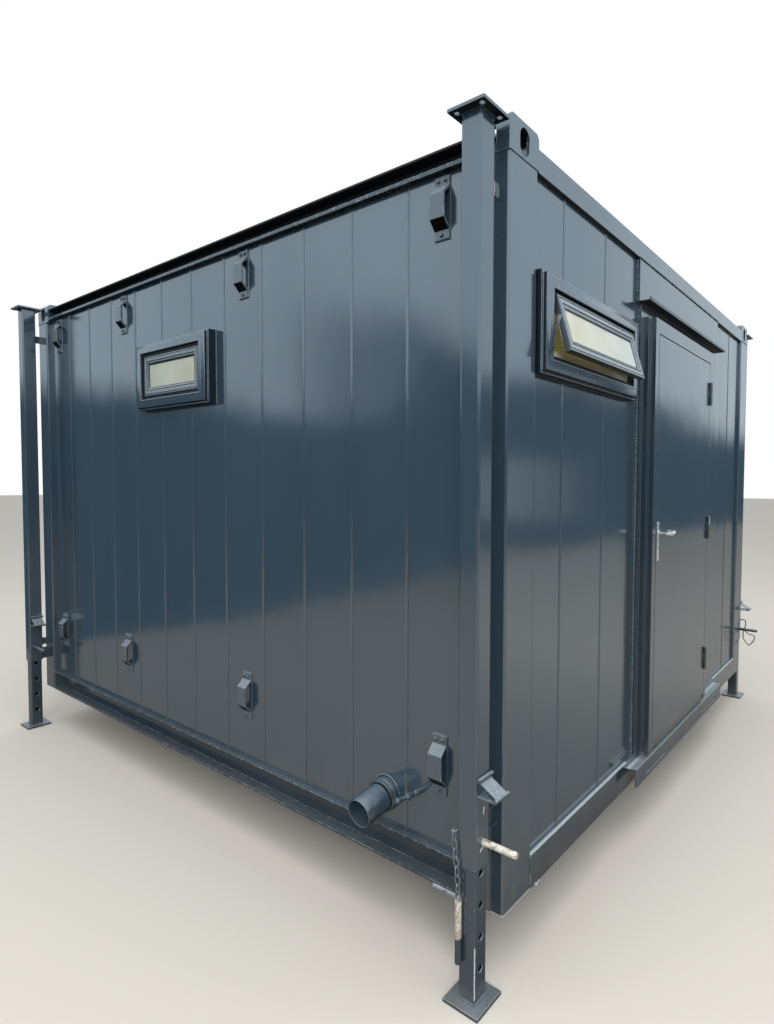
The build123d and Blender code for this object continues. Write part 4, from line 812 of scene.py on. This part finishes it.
# Black strips at the back of the gap between surround and sash: painted shade.
gap_shade_section = np.array([(45.6, 19.6), (45.6, 21.5), (58.3, 21.5), (58.3, 19.6)])
gap_shades = []
for centre, across, out, half, stand in (FRONT_WINDOW, SIDE_WINDOW):
    section = np.stack([gap_shade_section[:, 0] * BORDER[0] / BORDER[1], gap_shade_section[:, 0], gap_shade_section[:, 1] + stand], axis=1)
    gap_shades.append(mitred(centre, across, UP, out, half, section))
piece("sash_gap_shade", rubber, gap_shades)
piece("pane_gaskets", rubber, [hung(mitred(profile=GASKET, **flat_sash)), mitred(profile=GASKET, **shut_sash)])
dress(silver, "window_stays")


def frosted(name, warm, cool, low, high):
    """Frosted glass, its colour running from warm at one end to cool at the other as painted light, with darker clouds,
    a fine stipple and a little light through.
    """
    material, tree, shader, place = new_material(name)
    split = apart(tree, place)
    along = ramp(tree, plus(tree, split[0], split[1]), low, high)
    cloud = noise(tree, place, 7.0, 5.0, 0.6)
    shade = ramp(tree, cloud, 0.3, 0.75, 0.0, 0.4)
    tone = blend_colour(tree, shade, blend_colour(tree, along, warm, cool), tuple(0.72 * c for c in warm))
    pebbles = put(tree, "Bump", Height=noise(tree, place, 420.0, 1.0), Distance=0.00025).outputs[0]
    feed(tree, shader, Base_Color=tone, Roughness=ramp(tree, cloud, 0.2, 0.8, 0.28, 0.4), Normal=pebbles, IOR=1.5,
         Transmission_Weight=0.12)
    return material


KNOB = [(0, 0), (0, 7), (9, 7), (14, 5), (15, 0)]
# The side pane is given darker colours than the front pane: painted shade of the same glass.
dress(frosted("front_frosting", (0.66, 0.64, 0.49), (0.62, 0.68, 0.67), -3.35, -2.55), "front_window_glass")
dress(frosted("side_frosting_shaded", (0.56, 0.57, 0.45), (0.52, 0.56, 0.49), -1.8, -1.2), "side_window_glass")
dress(enamel("cream_enamel", colour=(0.66, 0.60, 0.44), rough=0.35, pale=0.0, stipple=2.0e-5, ior=1.5),
      "window_frames")
piece("sash_knobs", rubber, [turned((x, 44.0, 1873.0), (0, 0, 1), KNOB, 12) for x in (545.0, 800.0)])

# Link brackets: pressed hat sections bolted flat to the side wall in two rows, where cabins are joined side by side;
# their edges are pale, partly rubbed and partly painted highlight, their faces that look up are pale, partly dust and
# partly painted highlight, and their faces that look down are painted dark as painted shade; they carry hexagon bolts
# on washers, over a bed of mastic whose lower side is painted shade too.
BRACKETS = (284.0, 1441.0, 2598.0, 3488.0)
ROWS = (425.0, 2367.0)
BRACKET_HALF = (32.5, 107.5)
BOLT_PLACES = ((-15.0, 91.0), (15.0, 91.0), (0.0, -91.0))
BOLT_RADIUS = 6.2
WASHER = np.array([(0, 0), (0, 1.25), (1.8, 1.25), (2.2, 1.15), (2.2, 0)])
BOLT_HEAD = np.array([(0, 0), (0, 1), (4.4, 1), (5.6, 0.86), (6.0, 0.5), (6.0, 0)])
dress(enamel("bracket_enamel", colour=(0.075, 0.100, 0.120), rough=0.22, stipple=5.0e-5, pale=1.0, edge=0.005,
             upward_pale=0.8, under=0.97, ior=1.9), "link_brackets_lower", "link_brackets_upper")


def hex_bolt(place, out, seed):
    """Hexagon bolt on a washer: a flat ring of sixteen sides, and a head of six sides with a domed end."""
    place = np.asarray(place, float)
    return [turned(place - 0.3 * out, out, WASHER * (1.0, BOLT_RADIUS), 16),
            turned(place + 1.7 * out, out, BOLT_HEAD * (1.0, BOLT_RADIUS), 6, phase=0.4 * seed)]


bolts, beds = [], []
for row, middle in enumerate(ROWS):
    for k, y in enumerate(BRACKETS):
        for shift, rise in BOLT_PLACES:
            bolts += hex_bolt((18.0, y + shift, middle + rise), left, k + row + rise)
        beds.append(bead([(24.5, y + a, middle + b) for a, b in ROUND * BRACKET_HALF], 2.6, seed=50 + k, step=5.0))
piece("bracket_bolts", cast_enamel, bolts)
piece("bracket_mastic", filler, beds)

# Drain pipes on the side wall: a 110 mm plastic soil pipe with a ribbed push-fit socket and a black ring, and a thin
# waste pipe with a hexagon nut and a sleeve, both painted over with the wall and left open at the end.
FALL = math.radians(9.0)
SWING = math.radians(9.5)
SOIL = (np.array([25.0, 545.0, 243.0]), np.array([-math.cos(FALL), 0.0, -math.sin(FALL)]))
WASTE = (np.array([25.0, 364.0, 307.0]), np.array([-math.cos(SWING), math.sin(SWING), 0.0]))


def swung(start, axis, section, sides=48):
    """Closed section of (distance along the axis, radius) swung once round the axis to make a ring or a pipe."""
    section = np.asarray(section, float)
    circles = hoop(unit(axis)[None], sides)[0]
    grid = np.asarray(start, float) + section[None, :, :1] * unit(axis) + section[None, :, 1:] * circles[:, None]
    return skin(grid, loop=True)


pipe_paint = enamel("pipe_paint", rough=0.2, stipple=3.0e-5, pale=0.7, edge=0.003, upward_pale=0.12, under=0.3,
                    bare=[(CORNER + (-0.112, 0.500, 0.262), CORNER + (-0.090, 0.497, 0.270), 0.0025)])
pipe = swung(*SOIL, [(-14, 50.8), (-14, 55), (147.5, 55), (150, 53.4), (150, 51.2), (148, 50.8)])
socket = swung(*SOIL, [(-10, 55), (-10, 59), (7, 59), (8, 61.5), (12, 62), (15, 61.5), (16, 59.5), (22, 59.5),
                       (23, 61.5), (28, 62), (33, 61.6), (34, 60), (34, 55)])
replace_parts(piece("soil_pipe_open", pipe_paint, [pipe, socket]), "soil_pipe")
turn = np.linspace(0.0, 2.0 * np.pi, 49)
rim = SOIL[0] + 0.5 * left + 63.5 * np.stack([np.zeros(49), np.cos(turn), np.sin(turn)], axis=1)
piece("soil_pipe_ring", rubber, [swung(*SOIL, [(34, 55), (34, 57.2), (36, 58.4), (39, 58.2), (40, 56.5), (40, 55)])])
piece("soil_pipe_bed", filler, [bead(rim, 3.6, seed=61)])
waste = [swung(*WASTE, [(-6, 5.6), (-6, 7.5), (126.5, 7.5), (128, 6.8), (128, 5.8)], 20),
         turned(*WASTE, [(57, 0), (57, 11.5), (59, 13), (76, 13), (78, 11.5), (78, 0)], 6),
         swung(*WASTE, [(-4, 7.4), (-4, 10.5), (38, 10.5), (40, 9.4), (40, 7.4)], 20),
         swung(*WASTE, [(101, 7.4), (101, 9.6), (103, 10.5), (118, 10.5), (120, 9.6), (120, 7.4)], 20)]
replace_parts(piece("waste_pipe_open", pipe_paint, waste), "waste_pipe")

# Jack legs: a square housing welded to each post by tabs, with a drilled head plate and a small hood, and an inner
# leg on a foot plate, held by a bare steel pin; the near corner keeps a spare pin on a length of chain.
LEGS = [(-88.0, 58.0), (3452.0, 58.0), (-88.0, 3714.0), (3452.0, 3714.0)]
HOUSING_HALF = 38.0
HOUSING_TOP = 2546.5
INNER_HALF = 31.75
FOOT_TOP = -229.5
POST_GAP = 88.0
TABS = ((207.0, 281.0), (302.0, 347.0), (2340.0, 2385.0))
HOODS = (448.0, 496.0)
PIN_HEIGHT = 292.0
PIN_LONG = 218.0
rubbed_spots = [((-0.083, 0.020, 0.401), (-0.087, 0.020, 0.381), 0.0022),
                ((-0.010, 0.053, 2.348), (-0.010, 0.053, 2.380), 0.012),
                ((-0.088, 0.020, 0.275), (-0.101, 0.020, 0.268), 0.0035)]
housing_enamel = enamel("housing_enamel", dust=0.25, reach=0.8, pale=0.45, stipple=3.0e-5, upward_pale=0.75, ior=2.5,
                        bare=[(CORNER + start, CORNER + end, width) for start, end, width in rubbed_spots],
                        metal=(0.80, 0.78, 0.70))
dress(housing_enamel, "leg_housing_front_left", "leg_housing_front_right", "leg_housing_back_left",
      "leg_housing_back_right")
leg_edge = (CORNER + (-0.1197, 0.0262, -0.045), CORNER + (-0.1197, 0.0262, -0.212), 0.0032)
dress(enamel("inner_leg_enamel", colour=(0.026, 0.042, 0.056), rough=0.22, dust=0.25, reach=0.12, pale=1.0, edge=0.006,
             stipple=5.0e-5, upward_pale=0.55, bare=[leg_edge], metal=(0.62, 0.64, 0.62), ior=2.3),
      "leg_inner_front_left", "leg_inner_front_right", "leg_inner_back_left", "leg_inner_back_right")

worn_steel, tree, shader, place = new_material("worn_steel")
patches = ramp(tree, noise(tree, place, 55.0, 6.0, 0.65), 0.50, 0.62)
grime = ramp(tree, noise(tree, place, 21.0, 5.0, 0.6), 0.45, 0.7)
tone = blend_colour(tree, patches, (0.72, 0.69, 0.60), (0.40, 0.37, 0.31))
feed(tree, shader, Base_Color=blend_colour(tree, times(tree, grime, 0.6), tone, (0.10, 0.07, 0.05)),
     Roughness=ramp(tree, patches, 0.0, 1.0, 0.35, 0.6), Metallic=times(tree, patches, 0.5),
     Normal=put(tree, "Bump", Height=patches, Distance=0.0002).outputs[0])
PIN = np.array([(0, 0), (0, 6.5), (1.2, 8.8), (3.4, 10.4), (6.5, 11), (174, 11), (176, 10), (177.5, 7), (178, 0)])
shaped = [turned((x, y - 166.0 + 0.01, PIN_HEIGHT), (0, 1, 0), PIN * [PIN_LONG / PIN[-1, 0], 1.0]) for x, y in LEGS]
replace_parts(piece("locking_pin_near", worn_steel, shaped[:1]), "leg_pins")
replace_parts(piece("locking_pins_other", housing_enamel, shaped[1:]), "leg_pins")
loose = [(19.0, 366.0), (-22.0, 368.0), (-26.0, 330.0), (-6.0, 262.0), (-12.0, 214.0), (-50.0, 170.0), (-86.0, 212.0),
         (-92.0, 252.0), (-46.0, 262.0), (-22.0, 281.0)]
wire = eased([(LEGS[1][0], y, z) for y, z in loose], 12.0, 5)
piece("pin_pull_wire", housing_enamel, [rod(wire, 4.0, 8)])

flaked, tree, shader, place = new_material("flaked_steel")
chips = ramp(tree, noise(tree, place, 70.0, 5.0, 0.7), 0.46, 0.56)
wavy = plus(tree, apart(tree, place)[2], times(tree, noise(tree, place, 30.0, 3.0), 0.03))
upper = ramp(tree, wavy, CORNER[2] - 0.010, CORNER[2] - 0.002)
raw = blend_colour(tree, chips, (0.42, 0.34, 0.27), (0.70, 0.68, 0.62))
feed(tree, shader, Base_Color=blend_colour(tree, upper, (0.050, 0.062, 0.074), raw),
     Roughness=ramp(tree, chips, 0.0, 1.0, 0.45, 0.7),
     Normal=put(tree, "Bump", Height=chips, Distance=0.0003).outputs[0])
dress(flaked, "hanging_pin")


def chain(points, wire, long, wide, sides=8):
    """Chain of oval links along a path: each link is a closed bar round an oval, and every second one is turned by a
    quarter, so that they hold each other."""
    links = []
    turn = np.linspace(0.0, 2.0 * np.pi, 21)[:-1]
    stretch = np.sign(np.cos(turn)) * np.abs(np.cos(turn)) ** 0.75
    for k, (a, b) in enumerate(zip(points[:-1], points[1:])):
        along = unit(b - a)
        flat = unit(np.cross(along, left))
        wide_way = flat if k % 2 else np.cross(along, flat)
        oval = (a + b) / 2 + long / 2 * stretch[:, None] * along + wide / 2 * np.sin(turn)[:, None] * wide_way
        links.append(rod(oval, wire, sides, loop=True))
    return links


drop = np.array([(-134, 100, 318), (-135, 99, 290), (-134, 96, 262), (-135, 92, 234), (-134, 89, 206), (-135, 86, 178),
                 (-134, 84, 150), (-133, 84, 122), (-131, 84, 98)], float)
staple = eased([(-124.0, 93.0, 322.0), (-139.0, 93.0, 322.0), (-139.0, 107.0, 322.0), (-124.0, 107.0, 322.0)], 5.0)
chain_steel = enamel("chain_enamel", colour=(0.10, 0.12, 0.13), rough=0.4, stipple=1.5e-4, pale=1.0, edge=0.0015)
piece("retaining_chain", chain_steel, chain(drop, 2.5, 35.0, 17.0) + [rod(staple, 3.2, 10)])

beads = []
for k, (x, y) in enumerate(LEGS):
    way = 1.0 if x < 0 else -1.0
    beads.append(bead([(x + a, y + b, HOUSING_TOP) for a, b in ROUND * HOUSING_HALF], 3.4, seed=70 + k))
    beads.append(bead([(x + a, y + b, FOOT_TOP) for a, b in ROUND * INNER_HALF], 4.2, seed=80 + k))
    for low, high in TABS:
        for edge in (x + way * HOUSING_HALF, x + way * POST_GAP):
            beads.append(bead([(edge, y - 5.5, low), (edge, y - 5.5, high)], 2.8, seed=int(low) + k))
    for rise in HOODS:
        ends = [(x + side * (HOUSING_HALF - 2.0), y - HOUSING_HALF, rise) for side in (-1.0, 1.0)]
        beads.append(bead(ends, 3.0, seed=int(rise) + k))
piece("leg_welds", cast_enamel, beads)
chipped = enamel("chipped_enamel", colour=(0.05, 0.065, 0.08), rough=0.35, stipple=2.0e-4, edge=0.012, pale=1.0,
                 ior=1.5, under=0.4)
tree = chipped.node_tree
shader = tree.nodes["Principled BSDF"].inputs
chips = ramp(tree, noise(tree, put(tree, "TexCoord").outputs["Object"], 45.0, 5.0, 0.7), 0.40, 0.50)
feed(tree, shader, Base_Color=blend_colour(tree, chips, shader["Base Color"].links[0].from_socket, (0.36, 0.42, 0.48)))
piece("foot_packers", chipped, [softened((-4.0, 168.0, -15.0), (60.0, 300.0, 0.5), 2.0),
                                softened((214.0, -5.0, -14.0), (243.0, 50.0, 0.5), 2.0)])
